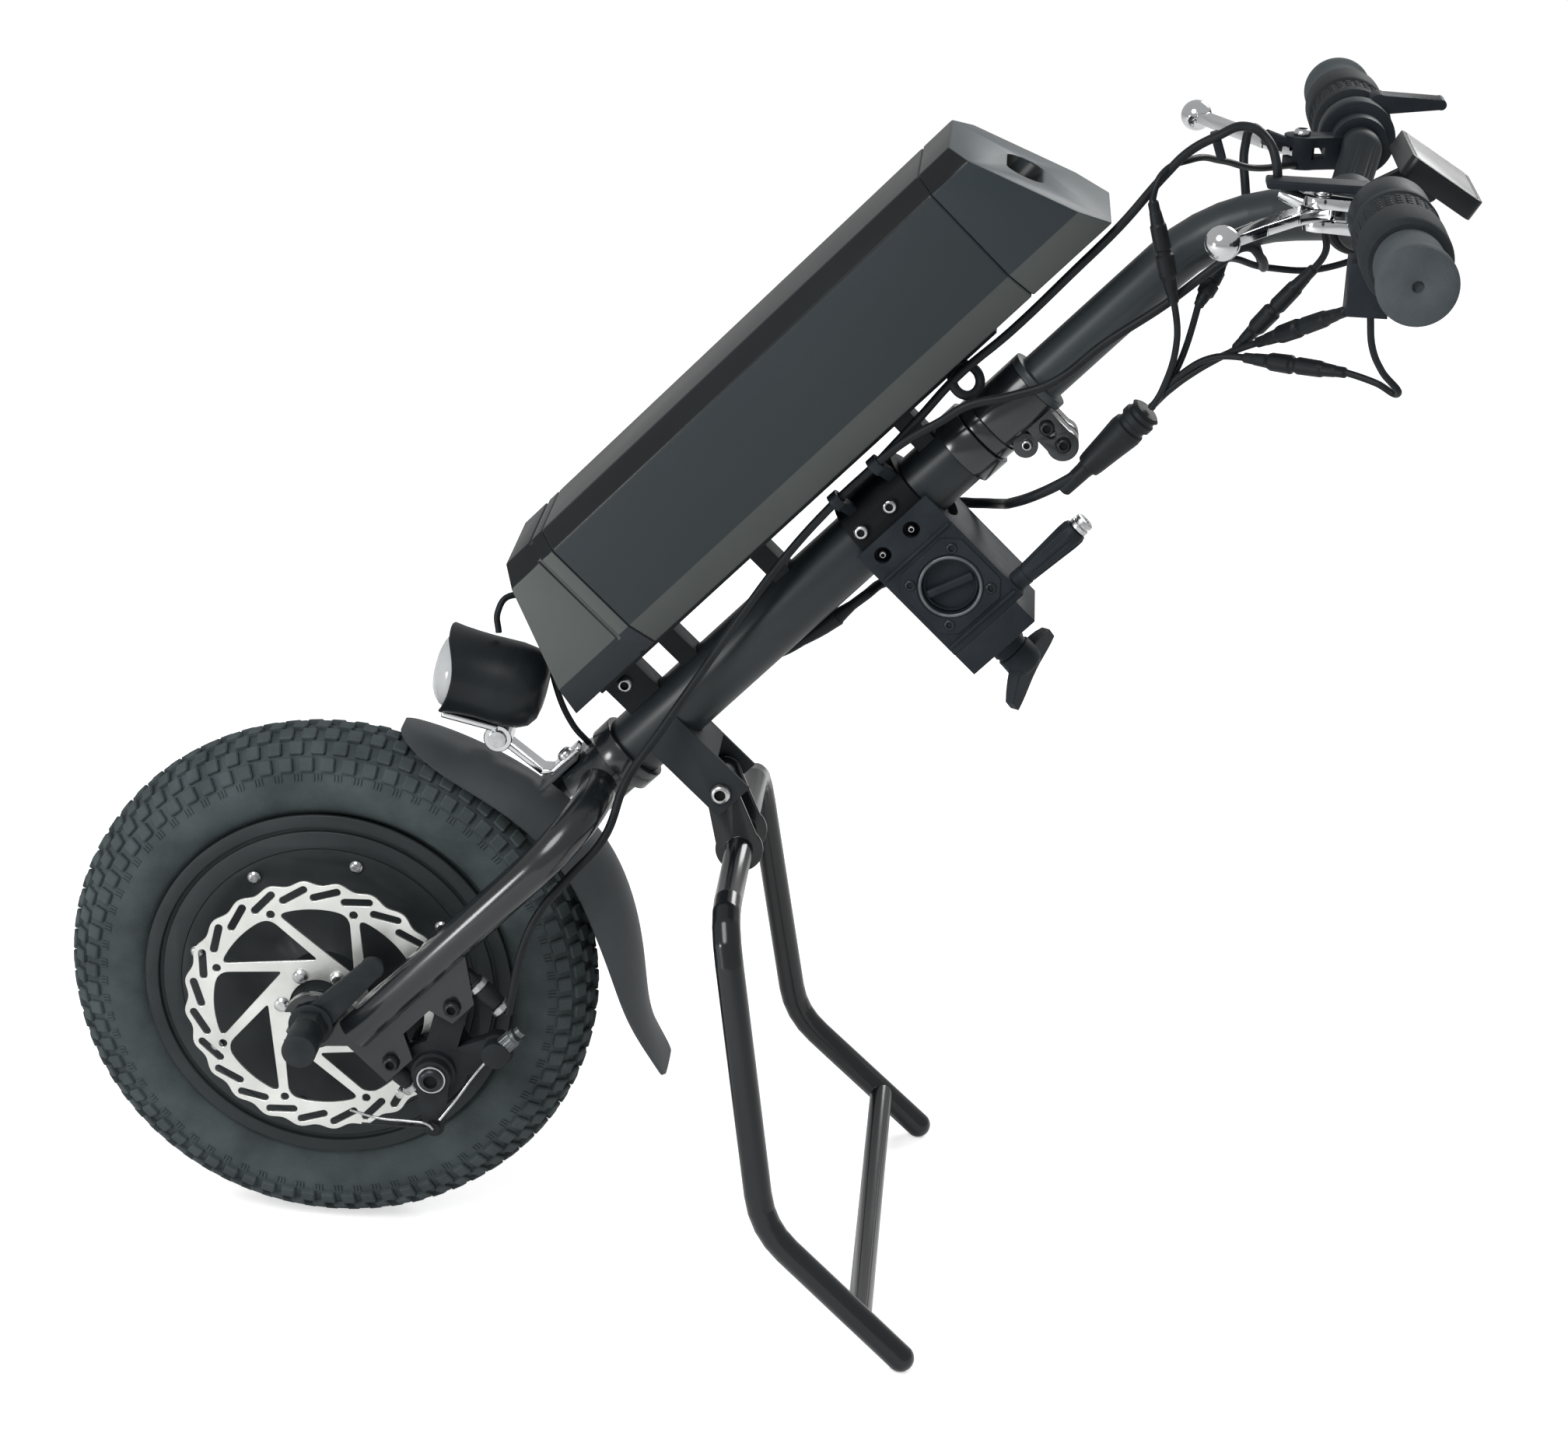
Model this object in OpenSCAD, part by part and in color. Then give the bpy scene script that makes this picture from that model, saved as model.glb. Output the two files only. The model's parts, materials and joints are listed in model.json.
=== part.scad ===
// Power assist for a manual wheelchair: a steered motor wheel, a long head tube that carries the battery
// and the chair dock, a folding stand, and a handlebar with brake levers, throttle and display.
// Lengths are millimetres. +X points to the rider, +Y to the rider's right, +Z up.
// The origin is the centre of the docking bore. "Up the stem" means along the steering axis.

/* [Layout] */
// Angle of the steering axis above the floor, degrees
head_angle = 47; // [42:1:52]
// How far the axle sits in front of the steering axis
fork_rake = 21.5; // [15:0.5:28]

/* [Wheel] */
// Outside diameter of the tyre
tyre_od = 317.5; // [310:0.5:325]
// Section width of the tyre
tyre_w = 56; // [50:1:60]
// Depth of the tread grooves
tread_depth = 3; // [1.5:0.5:4]
// Diameter over the rim flanges
rim_d = 220; // [214:1:226]
// Width over the rim flanges
rim_w = 50; // [46:1:52]
// Diameter of the hub cover plates
cover_d = 176; // [168:1:180]
// Thickness of a cover plate
cover_t = 3.5; // [2.5:0.5:5]
// Diameter of the circle of cover screws
cover_pcd = 161; // [155:1:165]
// Diameter of the axle
axle_d = 12; // [10:0.5:14]

/* [Brake] */
// Diameter of the brake rotor over its waves
rotor_d = 160; // [150:1:164]
// Thickness of the brake rotor
rotor_t = 1.8; // [1.5:0.1:2.4]
// Distance of the rotor's middle plane from the wheel's
rotor_y = 52; // [50:0.5:54]
// Number of waves and of slots round the rotor
rotor_waves = 24; // [18:6:30]
// Diameter of the rotor's bolt circle
rotor_pcd = 44; // [43:0.5:45]

/* [Fork] */
// Outside diameter of the fork legs
leg_d = 22; // [18:0.5:24]
// Distance of a leg's axis from the wheel's middle plane
leg_y = 70; // [69:0.5:74]
// Radius of the bend from a leg to the crown
crown_bend_r = 45; // [40:1:48]
// Diameter of the crown under the head tube
crown_d = 36; // [34:0.5:40]
// Diameter of the steerer
steerer_d = 28.6; // [26:0.1:29]
// Thickness of the dropout plates
dropout_t = 6; // [4:0.5:7]

/* [Head tube] */
// Outside diameter of the main tube
tube_d = 38; // [36:0.5:40]
// Inside diameter of the main tube
tube_bore_d = 34; // [33:0.5:35]
// Where the main tube starts up the stem
tube_s0 = 235; // [232:1:240]
// Where the main tube ends up the stem
tube_s1 = 495; // [490:1:505]
// Diameter of the headset cups
cup_d = 44; // [42:0.5:46]
// Length of the lower cup outside the tube
lower_cup_h = 13; // [11:0.5:14]
// Length of the upper cup outside the tube
upper_cup_h = 16; // [12:0.5:18]

/* [Battery] */
// Width of the battery
batt_w = 100; // [90:1:106]
// Height of the battery from its floor to its top
batt_h = 90; // [84:1:94]
// Gap between the steering axis and the battery's floor
batt_drop = 44; // [42:0.5:48]
// Where the fixed base meets the battery, up the stem
batt_s0 = 301; // [298:1:304]
// Where the top cap starts, up the stem
batt_s1 = 592; // [580:1:600]
// Where the battery's floor ends, up the stem
batt_s2 = 650; // [646:1:654]
// Where the fixed base starts at its floor, up the stem
base_s0 = 237; // [234:1:242]
// How far the slanted ends lean over the height
end_lean = 36; // [28:1:40]
// Travel that frees the battery from its base
batt_travel = 25; // [15:1:28]

/* [Dock] */
// Diameter of the docking bore
dock_bore_d = 32; // [28:0.5:34]
// Docking bore below the steering axis
dock_drop = 48; // [46:0.5:50]
// Docking bore up the stem
dock_s = 443; // [438:1:446]
// Width of the dock block across the chair
dock_w = 54; // [50:1:58]
// Length of the dock block along the tube
dock_l = 53; // [50:1:56]
// Depth of the cap under the block
dock_cap_h = 16; // [12:0.5:18]
// Travel of the clamp shoe
shoe_travel = 4; // [2:0.5:5]

/* [Stand] */
// Diameter of the stand legs
stand_d = 16; // [14:0.5:18]
// Half the distance between the feet
foot_y = 144; // [138:1:150]
// Distance of the feet behind the axle
foot_behind = 354; // [345:1:362]
// Length of the bracket along the tube
bracket_l = 26; // [25:0.5:28]
// Width of the bracket
bracket_w = 40; // [38:0.5:44]
// Diameter of the stand's pivot bolt
pivot_d = 10; // [8:0.5:12]

/* [Handlebar] */
// Diameter of the gooseneck riser
riser_d = 28.6; // [26:0.1:30]
// Where the riser starts to bend, up the stem
riser_s1 = 650; // [640:1:660]
// Radius of the riser's bend
riser_bend_r = 102; // [95:1:110]
// Angle of the riser's bend, degrees
riser_bend = 43; // [40:1:46]
// Diameter of the handlebar
bar_d = 22.2; // [20:0.1:23]
// Half the width of the handlebar over the grips
bar_half = 250; // [244:1:260]
// Rise of the handlebar from its clamp to the grips
bar_rise = 21; // [16:0.5:26]
// Diameter of the grips
grip_d = 36; // [33:0.5:38]
// Distance from the middle to the switch and the throttle
control_y = 100; // [96:1:104]
// Diameter of the switch and throttle housings
drum_d = 43; // [40:0.5:45]

/* [Light and guard] */
// Diameter of the headlight
lamp_d = 54; // [50:0.5:56]
// Length of the headlight body
lamp_l = 58; // [54:1:62]
// Upward tilt of the headlight, degrees
lamp_tilt = 12; // [0:1:16]
// Width of the mudguard
guard_w = 62; // [60:1:68]
// Thickness of the mudguard
guard_t = 2.5; // [2:0.5:3]

/* [Hidden] */
$fn = 48;

// Overrun of a cut past the face that it opens
over = 1;
// Gap between seated faces
seat_gap = 0.1;
// Gap between pieces that move past each other
move_gap = 0.4;
// Radial clearance of a running shaft
run_gap = 0.05;
// How much a weld ball stands over the tube that it joins
weld_bead = 0.04;

// Places of the frame's own reference points
// The stem's scale has the tyre's edge at tread_s, so the crown keeps its room over any tyre
tread_s = 158.75;
leg_room = tyre_od / 2 - tread_s;
foot_x = fork_rake * sin(head_angle) + leg_room * cos(head_angle);
foot_z = tyre_od / 2 - fork_rake * cos(head_angle) + leg_room * sin(head_angle);
dock_x = foot_x + dock_s * cos(head_angle) + dock_drop * sin(head_angle);
dock_z = foot_z + dock_s * sin(head_angle) - dock_drop * cos(head_angle);

// Ground frame: the point of the floor under the axle
module at_ground() translate([-dock_x, 0, -dock_z]) children();
module at_axle() at_ground() translate([0, 0, tyre_od / 2]) children();
// Axle frame: z runs along the axle to the rider's right, y points down
module on_axle() at_axle() rotate([-90, 0, 0]) children();
// Stem frame: z runs up the steering axis, x points away under the tube, to the rear
module on_stem() at_ground() translate([foot_x, 0, foot_z]) rotate([0, 90 - head_angle, 0]) children();
// The same directions, from the point of the steering axis beside the axle
module by_axle() on_stem() translate([0, 0, -leg_room]) children();
module both_sides() {
  children();
  mirror([0, 1, 0]) children();
}
// A cylinder along Y, centred on its place
module cross_pin(d, l) rotate([90, 0, 0]) cylinder(d = d, h = l, center = true);
// A cylinder along Y between two planes
module cross_rod(d, y0, y1) translate([0, y0, 0]) rotate([-90, 0, 0]) cylinder(d = d, h = y1 - y0);
module ring(d_out, d_in, h) {
  difference() {
    cylinder(d = d_out, h = h);
    translate([0, 0, -over]) cylinder(d = d_in, h = h + 2 * over);
  }
}
// A straight round bar between two points
module rod(p, q, d) {
  v = q - p;
  l = norm(v);
  translate(p) rotate([0, acos(v[2] / l), atan2(v[1], v[0])]) cylinder(d = d, h = l);
}
// A bent round bar: straight lengths with a ball at each corner
module pipe(points, d) {
  for (i = [0 : len(points) - 2]) rod(points[i], points[i + 1], d);
  for (i = [1 : len(points) - 2]) translate(points[i]) sphere(d = d + 2 * weld_bead);
}
// Points of a round bend that cuts a corner at the distance c from it
function bend(a, corner, b, c, n) =
  let (u = (a - corner) / norm(a - corner), v = (b - corner) / norm(b - corner))
  [for (i = [0 : n]) let (t = i / n) corner + u * c * (1 - t) * (1 - t) + v * c * t * t];
// A plate with round ends, flat in the plane of X and Y, as a flat outline
waist_share = 0.92;
module link2d(p, q, dp, dq) {
  v = (q - p) / norm(q - p);
  w = [-v[1], v[0]] * waist_share / 2;
  translate(p) circle(d = dp);
  translate(q) circle(d = dq);
  polygon([p + w * dp, p - w * dp, q - w * dq, q + w * dq]);
}
// Lays an outline of the stem frame's X and Z flat across the chair, between two planes of Y
module slab(y0, y1) translate([0, y1, 0]) rotate([90, 0, 0]) linear_extrude(y1 - y0) children();

// Cable swept along a route: one closed tube of flat faces
function unit(v) = v / norm(v);
function heading(p, i) = unit(p[min(i + 1, len(p) - 1)] - p[max(i - 1, 0)]);
function side_of(d) = unit(cross(d, abs(d[1]) < side_share ? [0, 1, 0] : [1, 0, 0]));
function carried(p, i, s) = let (d = heading(p, i)) unit(s - d * (s * d));
function sides(p, i) = i == 0 ? [carried(p, 0, side_of(heading(p, 0)))]
  : let (before = sides(p, i - 1)) concat(before, [carried(p, i, before[i - 1])]);
// Share of the unit heading past which another side vector starts the sweep
side_share = 0.9;
cord_sides = 8;
module cord(p, d) {
  n = cord_sides;
  m = len(p);
  s = sides(p, m - 1);
  points = [for (i = [0 : m - 1]) let (h = heading(p, i), b = cross(h, s[i]))
    for (j = [0 : n - 1]) p[i] + (s[i] * cos(360 * j / n) + b * sin(360 * j / n)) * d / 2];
  walls = [for (i = [0 : m - 2]) for (j = [0 : n - 1]) let (k = (j + 1) % n)
    each [[i * n + j, i * n + k, (i + 1) * n + k], [i * n + j, (i + 1) * n + k, (i + 1) * n + j]]];
  caps = [for (j = [1 : n - 2]) each [[0, j + 1, j], [(m - 1) * n, (m - 1) * n + j, (m - 1) * n + j + 1]]];
  polyhedron(points, concat(walls, caps));
}
// Wheel
tyre_r = tyre_od / 2;
bead_d = 203;
bead_half = 19.5;
rise_share = 0.62;
tyre_rise = (tyre_r - rim_d / 2) * rise_share;
tyre_mid_r = tyre_r - tyre_rise;
wall_steps = 5;
crown_steps = 12;
rim_in_d = 184;
rim_seat_gap = 0.3;
flange_t = 2.8;
face_in = 1;
groove_d = 204;
groove_in = 3.5;
lip_in_d = 148;
lip_t = 4;
magnet_t = 4;
magnet_w = 28;
air_gap = 0.8;
stator_w = 26;
stator_slots = 18;
slot_w = 7;
slot_deep = 22;
bearing_d = 32;
bearing_w = 10;
boss_d = 52;
boss_foot_d = 92;
far_boss_y = 40;
rotor_bore_d = 35;
cover_in = rim_w / 2 - face_in - cover_t + seat_gap;
lip_y = cover_in - seat_gap;
bearing_shift = 1;
bearing_y = cover_in + bearing_shift;
screw_head_d = 8;
screw_head_h = 2.6;
cover_screws_n = 8;
axle_half = 106;
shoulder_d = 18;
nut_af_d = 22;
nut_h = 10;
washer_d = 26;
washer_t = 2.5;
cap_d = 20;
cap_h = 24;
arm_reach = 52;
arm_root_d = 20;
arm_w = 14;

// Half the section: bead, the wall that leans on the flange, and the bulge up to the crown
module tyre_outline() {
  foot = [rim_d / 2 + rim_seat_gap, rim_w / 2 - flange_t - rim_seat_gap];
  half = concat([[bead_d / 2, bead_half]],
    [for (i = [0 : wall_steps]) let (a = 90 * i / wall_steps)
      [tyre_mid_r - (tyre_mid_r - foot[0]) * cos(a), foot[1] + (tyre_w / 2 - foot[1]) * sin(a)]],
    [for (i = [1 : crown_steps - 1]) let (a = 90 * i / crown_steps)
      [tyre_mid_r + tyre_rise * sin(a), tyre_w / 2 * cos(a)]]);
  n = len(half);
  polygon(concat(half, [[tyre_r, 0]], [for (i = [n - 1 : -1 : 0]) [half[i][0], -half[i][1]]]));
}
module tread_grooves() {
  for (a = tread_angles) translate([tyre_mid_r, 0]) rotate(a)
    translate([tyre_w / 2 - tread_depth, -tread_gap / 2]) square([tread_reach, tread_gap]);
}
tread_angles = [-66, -44, -22, 0, 22, 44, 66];
tread_gap = 2.6;
tread_reach = 12;
tread_blocks = 54;
// Gaps between the blocks of one row, cut to the tread's depth
module tread_row(from, to, turn) {
  r = tyre_w / 2 - tread_depth;
  gaps = [for (q = [[r, from], [r, to], [r + tread_reach, to], [r + tread_reach, from]])
    [tyre_mid_r + q[0] * cos(q[1]), q[0] * sin(q[1])]];
  for (i = [0 : tread_blocks - 1]) rotate((i + turn) * 360 / tread_blocks)
    rotate_extrude(angle = tread_gap * 180 / PI / tyre_r) polygon(gaps);
}
module tyre() {
  color("#26282a") on_axle() difference() {
    rotate_extrude($fn = 96) difference() {
      tyre_outline();
      tread_grooves();
    }
    for (i = [0 : len(tread_angles) - 2]) tread_row(tread_angles[i], tread_angles[i + 1], i % 2 / 2);
  }
}
module hub_shell() {
  half = rim_w / 2;
  profile = [
    [rim_in_d / 2, lip_y - lip_t], [lip_in_d / 2, lip_y - lip_t], [lip_in_d / 2, lip_y],
    [cover_d / 2 + seat_gap, lip_y], [cover_d / 2 + seat_gap, half - face_in],
      [groove_d / 2 - flange_t, half - face_in],
    [groove_d / 2 - flange_t, half - groove_in], [groove_d / 2, half - groove_in], [groove_d / 2, half],
    [rim_d / 2, half], [rim_d / 2, half - flange_t], [bead_d / 2 - rim_seat_gap, bead_half + rim_seat_gap]
  ];
  n = len(profile);
  other_side = [for (i = [n - 1 : -1 : 0]) [profile[i][0], -profile[i][1]]];
  color("#303336") on_axle() rotate_extrude($fn = 96) polygon(concat(profile, other_side));
}
module magnet_ring() {
  color("#8a8d90") on_axle() translate([0, 0, -magnet_w / 2])
    ring(rim_in_d - 2 * seat_gap, rim_in_d - 2 * magnet_t, magnet_w);
}
// One cover: plate, dished boss with the bearing seat, and the boss's length from the wheel's middle
module hub_cover(boss_y) {
  rotate_extrude($fn = 96) polygon([
    [bearing_d / 2 + seat_gap, cover_in], [cover_d / 2, cover_in], [cover_d / 2, cover_in + cover_t],
    [boss_foot_d / 2, cover_in + cover_t], [boss_d / 2, cover_in + cover_t + boss_ramp],
      [boss_d / 2, boss_y],
    [shoulder_d / 2 + move_gap, boss_y], [shoulder_d / 2 + move_gap, bearing_y + bearing_w + seat_gap],
    [bearing_d / 2 + seat_gap, bearing_y + bearing_w + seat_gap]
  ]);
}
boss_ramp = 7;
module cover_holes() {
  for (i = [0 : cover_screws_n - 1]) rotate(i * 360 / cover_screws_n + screw_turn)
    translate([cover_pcd / 2, 0, cover_in - over]) cylinder(d = screw_d, h = cover_t + 2 * over);
}
screw_d = 5;
screw_turn = 12;
module hub_covers() {
  color("#2b2e31") on_axle() {
    difference() {
      hub_cover(far_boss_y);
      cover_holes();
    }
    mirror([0, 0, 1]) {
      difference() {
        hub_cover(rotor_y - rotor_t / 2 - seat_gap);
        cover_holes();
        for (i = [0 : rotor_bolts_n - 1]) rotate(i * 360 / rotor_bolts_n)
          translate([rotor_pcd / 2, 0, rotor_y - rotor_bolt_l])
            cylinder(d = rotor_bolt_d, h = rotor_bolt_l);
      }
    }
  }
}
rotor_bolts_n = 6;
rotor_bolt_d = 5;
rotor_bolt_l = 12;
rotor_head_d = 9;
rotor_head_h = 2.6;
// A round-headed screw that points down its own Z, with its head's seat at z = 0
module button_screw(d, l, head_d, head_h) {
  translate([0, 0, -l]) cylinder(d = d - 2 * seat_gap, h = l + head_h * head_share);
  rotate_extrude() polygon([
    [0, 0], [head_d / 2, 0], [head_d / 2, head_h * head_share], [head_d * crown_share, head_h], [0, head_h]
  ]);
}
head_share = 0.45;
crown_share = 0.3;
module cover_screws() {
  color("#b9bcbe") on_axle() for (s = [0, 1]) mirror([0, 0, s])
    for (i = [0 : cover_screws_n - 1]) rotate(i * 360 / cover_screws_n + screw_turn)
      translate([cover_pcd / 2, 0, cover_in + cover_t])
        button_screw(screw_d, cover_t, screw_head_d, screw_head_h);
}
module wheel_bearings() {
  color("#9a9da0") on_axle() for (s = [0, 1]) mirror([0, 0, s]) translate([0, 0, bearing_y])
    ring(bearing_d, axle_d + 2 * run_gap, bearing_w);
}
module stator() {
  r = rim_in_d / 2 - magnet_t - air_gap;
  color("#9c6a3c") on_axle() translate([0, 0, -stator_w / 2]) difference() {
    cylinder(r = r, h = stator_w);
    translate([0, 0, -over]) cylinder(d = axle_d + 2 * seat_gap, h = stator_w + 2 * over);
    for (i = [0 : stator_slots - 1]) rotate(i * 360 / stator_slots)
      translate([r - slot_deep, -slot_w / 2, -over])
        cube([slot_deep - slot_lip, slot_w, stator_w + 2 * over]);
  }
}
slot_lip = 3;
module axle() {
  shoulder_y = bearing_y + bearing_w + move_gap;
  color("#6d7073") on_axle() {
    translate([0, 0, -axle_half]) cylinder(d = axle_d, h = 2 * axle_half);
    for (s = [0, 1]) mirror([0, 0, s]) translate([0, 0, shoulder_y])
      cylinder(d = shoulder_d, h = leg_y - dropout_t / 2 - seat_gap - shoulder_y);
  }
}
nut_y = leg_y + dropout_t / 2 + seat_gap;
arm_t = 3;
stack_y = nut_y + arm_t + seat_gap;
// On each side: a torque arm that lies along the leg, a washer, the nut and a cap over the axle's end
module axle_nuts() {
  color("#3a3d40") {
    by_axle() both_sides() slab(nut_y, nut_y + arm_t) difference() {
      link2d([axle_x, 0], [axle_x, arm_reach], arm_root_d, arm_w);
      translate([axle_x, 0]) circle(d = axle_d + 2 * seat_gap);
    }
    on_axle() for (s = [0, 1]) mirror([0, 0, s]) translate([0, 0, stack_y]) {
      ring(washer_d, axle_d + 2 * seat_gap, washer_t);
      translate([0, 0, washer_t + seat_gap]) difference() {
        cylinder(d = nut_af_d, h = nut_h, $fn = 6);
        translate([0, 0, -over]) cylinder(d = axle_d + 2 * seat_gap, h = nut_h + 2 * over);
      }
      translate([0, 0, washer_t + nut_h + 2 * seat_gap]) difference() {
        cylinder(d = cap_d, h = cap_h);
        translate([0, 0, -over]) cylinder(d = axle_d + 2 * seat_gap, h = cap_h - cap_end + over);
      }
    }
  }
}
cap_end = 3;

// Brake rotor
rotor_wave = 1.7;
rotor_ring_in = 61;
rotor_slot_r = 72;
rotor_slot_w = 3.8;
rotor_slot_l = 10.5;
rotor_slot_turn = 34;
rotor_hole_r = 64.5;
rotor_hole_d = 6;
rotor_pad_d = 13;
rotor_hub_d = 55;
arm_sweep = 38;
arm_foot_w = 11;
arm_tip_w = 6.5;
arm_steps = 7;
module rotor_ring2d() {
  difference() {
    polygon([for (a = [0 : 360 / rotor_waves / wave_steps : 359.9])
      let (r = rotor_d / 2 - rotor_wave * (1 - cos(rotor_waves * a)) / 2) r * [cos(a), sin(a)]]);
    circle(r = rotor_ring_in, $fn = 96);
    for (i = [0 : rotor_waves - 1]) rotate((i + 1 / 2) * 360 / rotor_waves)
      translate([rotor_slot_r, 0]) rotate(90 - rotor_slot_turn) {
        square([rotor_slot_l, rotor_slot_w], center = true);
        for (s = [-1, 1]) translate([s * rotor_slot_l / 2, 0]) circle(d = rotor_slot_w);
      }
  }
}
wave_steps = 8;
// One swept arm from the hub ring to the braking ring
module rotor_arm2d() {
  r0 = rotor_hub_d / 2 - arm_foot_w / 2;
  r1 = rotor_ring_in + arm_tip_w / 2;
  left = [for (i = [0 : arm_steps]) let (t = i / arm_steps, r = r0 + (r1 - r0) * t,
    w = arm_foot_w + (arm_tip_w - arm_foot_w) * t, a = arm_sweep * t)
    r * [cos(a), sin(a)] + w / 2 * [-sin(a), cos(a)]];
  right = [for (i = [arm_steps : -1 : 0]) let (t = i / arm_steps, r = r0 + (r1 - r0) * t,
    w = arm_foot_w + (arm_tip_w - arm_foot_w) * t, a = arm_sweep * t)
    r * [cos(a), sin(a)] - w / 2 * [-sin(a), cos(a)]];
  polygon(concat(left, right));
}
module brake_rotor() {
  color("#c4c6c8") on_axle() translate([0, 0, -rotor_y - rotor_t / 2]) difference() {
    union() {
      linear_extrude(rotor_t) rotor_ring2d();
      cylinder(d = rotor_hub_d, h = rotor_t, $fn = 96);
      for (i = [0 : rotor_bolts_n - 1]) rotate(i * 360 / rotor_bolts_n) {
        linear_extrude(rotor_t) rotor_arm2d();
        rotate(arm_sweep) translate([rotor_hole_r - rotor_hole_d / 2, 0])
          cylinder(d = rotor_pad_d, h = rotor_t);
      }
    }
    translate([0, 0, -over]) {
      cylinder(d = rotor_bore_d, h = rotor_t + 2 * over, $fn = 96);
      for (i = [0 : rotor_bolts_n - 1]) rotate(i * 360 / rotor_bolts_n) {
        translate([rotor_pcd / 2, 0, 0]) cylinder(d = rotor_bolt_d + 2 * seat_gap, h = rotor_t + 2 * over);
        rotate(arm_sweep) translate([rotor_hole_r - rotor_hole_d / 2, 0, 0])
          cylinder(d = rotor_hole_d, h = rotor_t + 2 * over);
      }
    }
  }
}
module rotor_bolts() {
  color("#d0d2d4") on_axle() mirror([0, 0, 1]) for (i = [0 : rotor_bolts_n - 1])
    rotate(i * 360 / rotor_bolts_n) translate([rotor_pcd / 2, 0, rotor_y + rotor_t / 2 + seat_gap])
      button_screw(rotor_bolt_d, rotor_bolt_l - rotor_t - 2 * seat_gap, rotor_head_d, rotor_head_h);
}

// Fork and steerer
leg_s0 = 12;
crown_s = 207;
crown_s0 = 192;
crown_s1 = tube_s0 - lower_cup_h - move_gap;
stem_h = 40;
steerer_s1 = tube_s1 + upper_cup_h + stem_h;
dropout_end_d = 34;
dropout_leg_d = 26;
dropout_s = 18;
tab_x = 35;
tab_s = [4, 26, 34, 56, 60, 78];
tab_in_x = 20;
caliper_bolt_x = 28;
caliper_bolt_s = [15, 67];
caliper_bolt_d = 6;
axle_x = -fork_rake;
module fork_leg() {
  bend_s = crown_s - crown_bend_r;
  translate([0, leg_y, leg_s0 - leg_room]) cylinder(d = leg_d, h = bend_s - leg_s0 + leg_room);
  translate([0, leg_y - crown_bend_r, bend_s]) rotate([0, -90, 0])
    rotate_extrude(angle = 90) translate([crown_bend_r, 0]) circle(d = leg_d);
  translate([0, 0, crown_s]) cross_rod(leg_d, 0, leg_y - crown_bend_r);
}
module dropout2d() {
  difference() {
    link2d([axle_x, 0], [0, dropout_s], dropout_end_d, dropout_leg_d);
    translate([axle_x, 0]) circle(d = axle_d + 2 * seat_gap);
    translate([axle_x, 0]) rotate(180 + head_angle)
      translate([0, -axle_d / 2 - seat_gap]) square([dropout_end_d, axle_d + 2 * seat_gap]);
  }
}
module brake_tab2d() {
  difference() {
    polygon([[0, tab_s[0]], [tab_x, tab_s[0]], [tab_x, tab_s[1]], [tab_in_x, tab_s[2]],
      [tab_in_x, tab_s[3]], [tab_x, tab_s[4]], [tab_x, tab_s[5]], [0, tab_s[5] + tab_s[1]]]);
    for (s = caliper_bolt_s) translate([caliper_bolt_x, s]) circle(d = caliper_bolt_d);
  }
}
module fork() {
  color("#1d1f21") on_stem() {
    difference() {
      union() {
        both_sides() fork_leg();
        translate([0, 0, crown_s0]) cylinder(d = crown_d, h = crown_s1 - crown_s0);
        translate([0, 0, -leg_room]) {
          both_sides() slab(leg_y - dropout_t / 2, leg_y + dropout_t / 2) dropout2d();
          slab(-leg_y - dropout_t / 2, -leg_y + dropout_t / 2) brake_tab2d();
        }
      }
      translate([0, 0, crown_s0 - over]) cylinder(d = steerer_d + 2 * seat_gap,
        h = crown_s1 - crown_s0 + 2 * over);
      translate([-crown_d / 2, 0, guard_bolt_s]) rotate([0, 90, 0])
        cylinder(d = guard_bolt_d, h = guard_bolt_l * 2, center = true);
    }
  }
}
guard_bolt_s = 201;
guard_bolt_d = 6;
guard_bolt_l = 3;
module steerer() {
  color("#3b3e41") on_stem() translate([0, 0, crown_s0]) cylinder(d = steerer_d, h = steerer_s1 - crown_s0);
}

// Brake caliper, in the stem frame
cal_x = 50;
cal_s = 27.5;
cal_d = 38;
cal_in_y = 38;
cal_out_y = 72;
cal_nose_d = 26;
adapter_t = 8;
adapter_w = 20;
rotor_slot_gap = 1.6;
rotor_edge_gap = 3.5;
pad_d = 20;
pad_t = 3.5;
pad_gap = 0.5;
pad_r = 69;
stop_x = 66;
stop_s = 64;
stop_d = 16;
stop_t = 12;
stop_y = 69;
barrel_d = 9;
barrel_l = 18;
wire_d = 1.6;
cal_bolt_d = 8;
cal_bolt_head_d = 17;
cal_bolt_head_h = 4;
lever_arm_t = 6;
arm_gap = 0.4;
arm_end = [72, 6.2];
arm_boss_d = 22;
arm_end_d = 13;
wire_tail = 42;
cal_reach = norm([cal_x - axle_x, cal_s]);
pad_x = axle_x + (cal_x - axle_x) * pad_r / cal_reach;
pad_s = cal_s * pad_r / cal_reach;
adapter_y = leg_y - dropout_t / 2 - seat_gap;
arm_y = cal_out_y + arm_gap;
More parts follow.
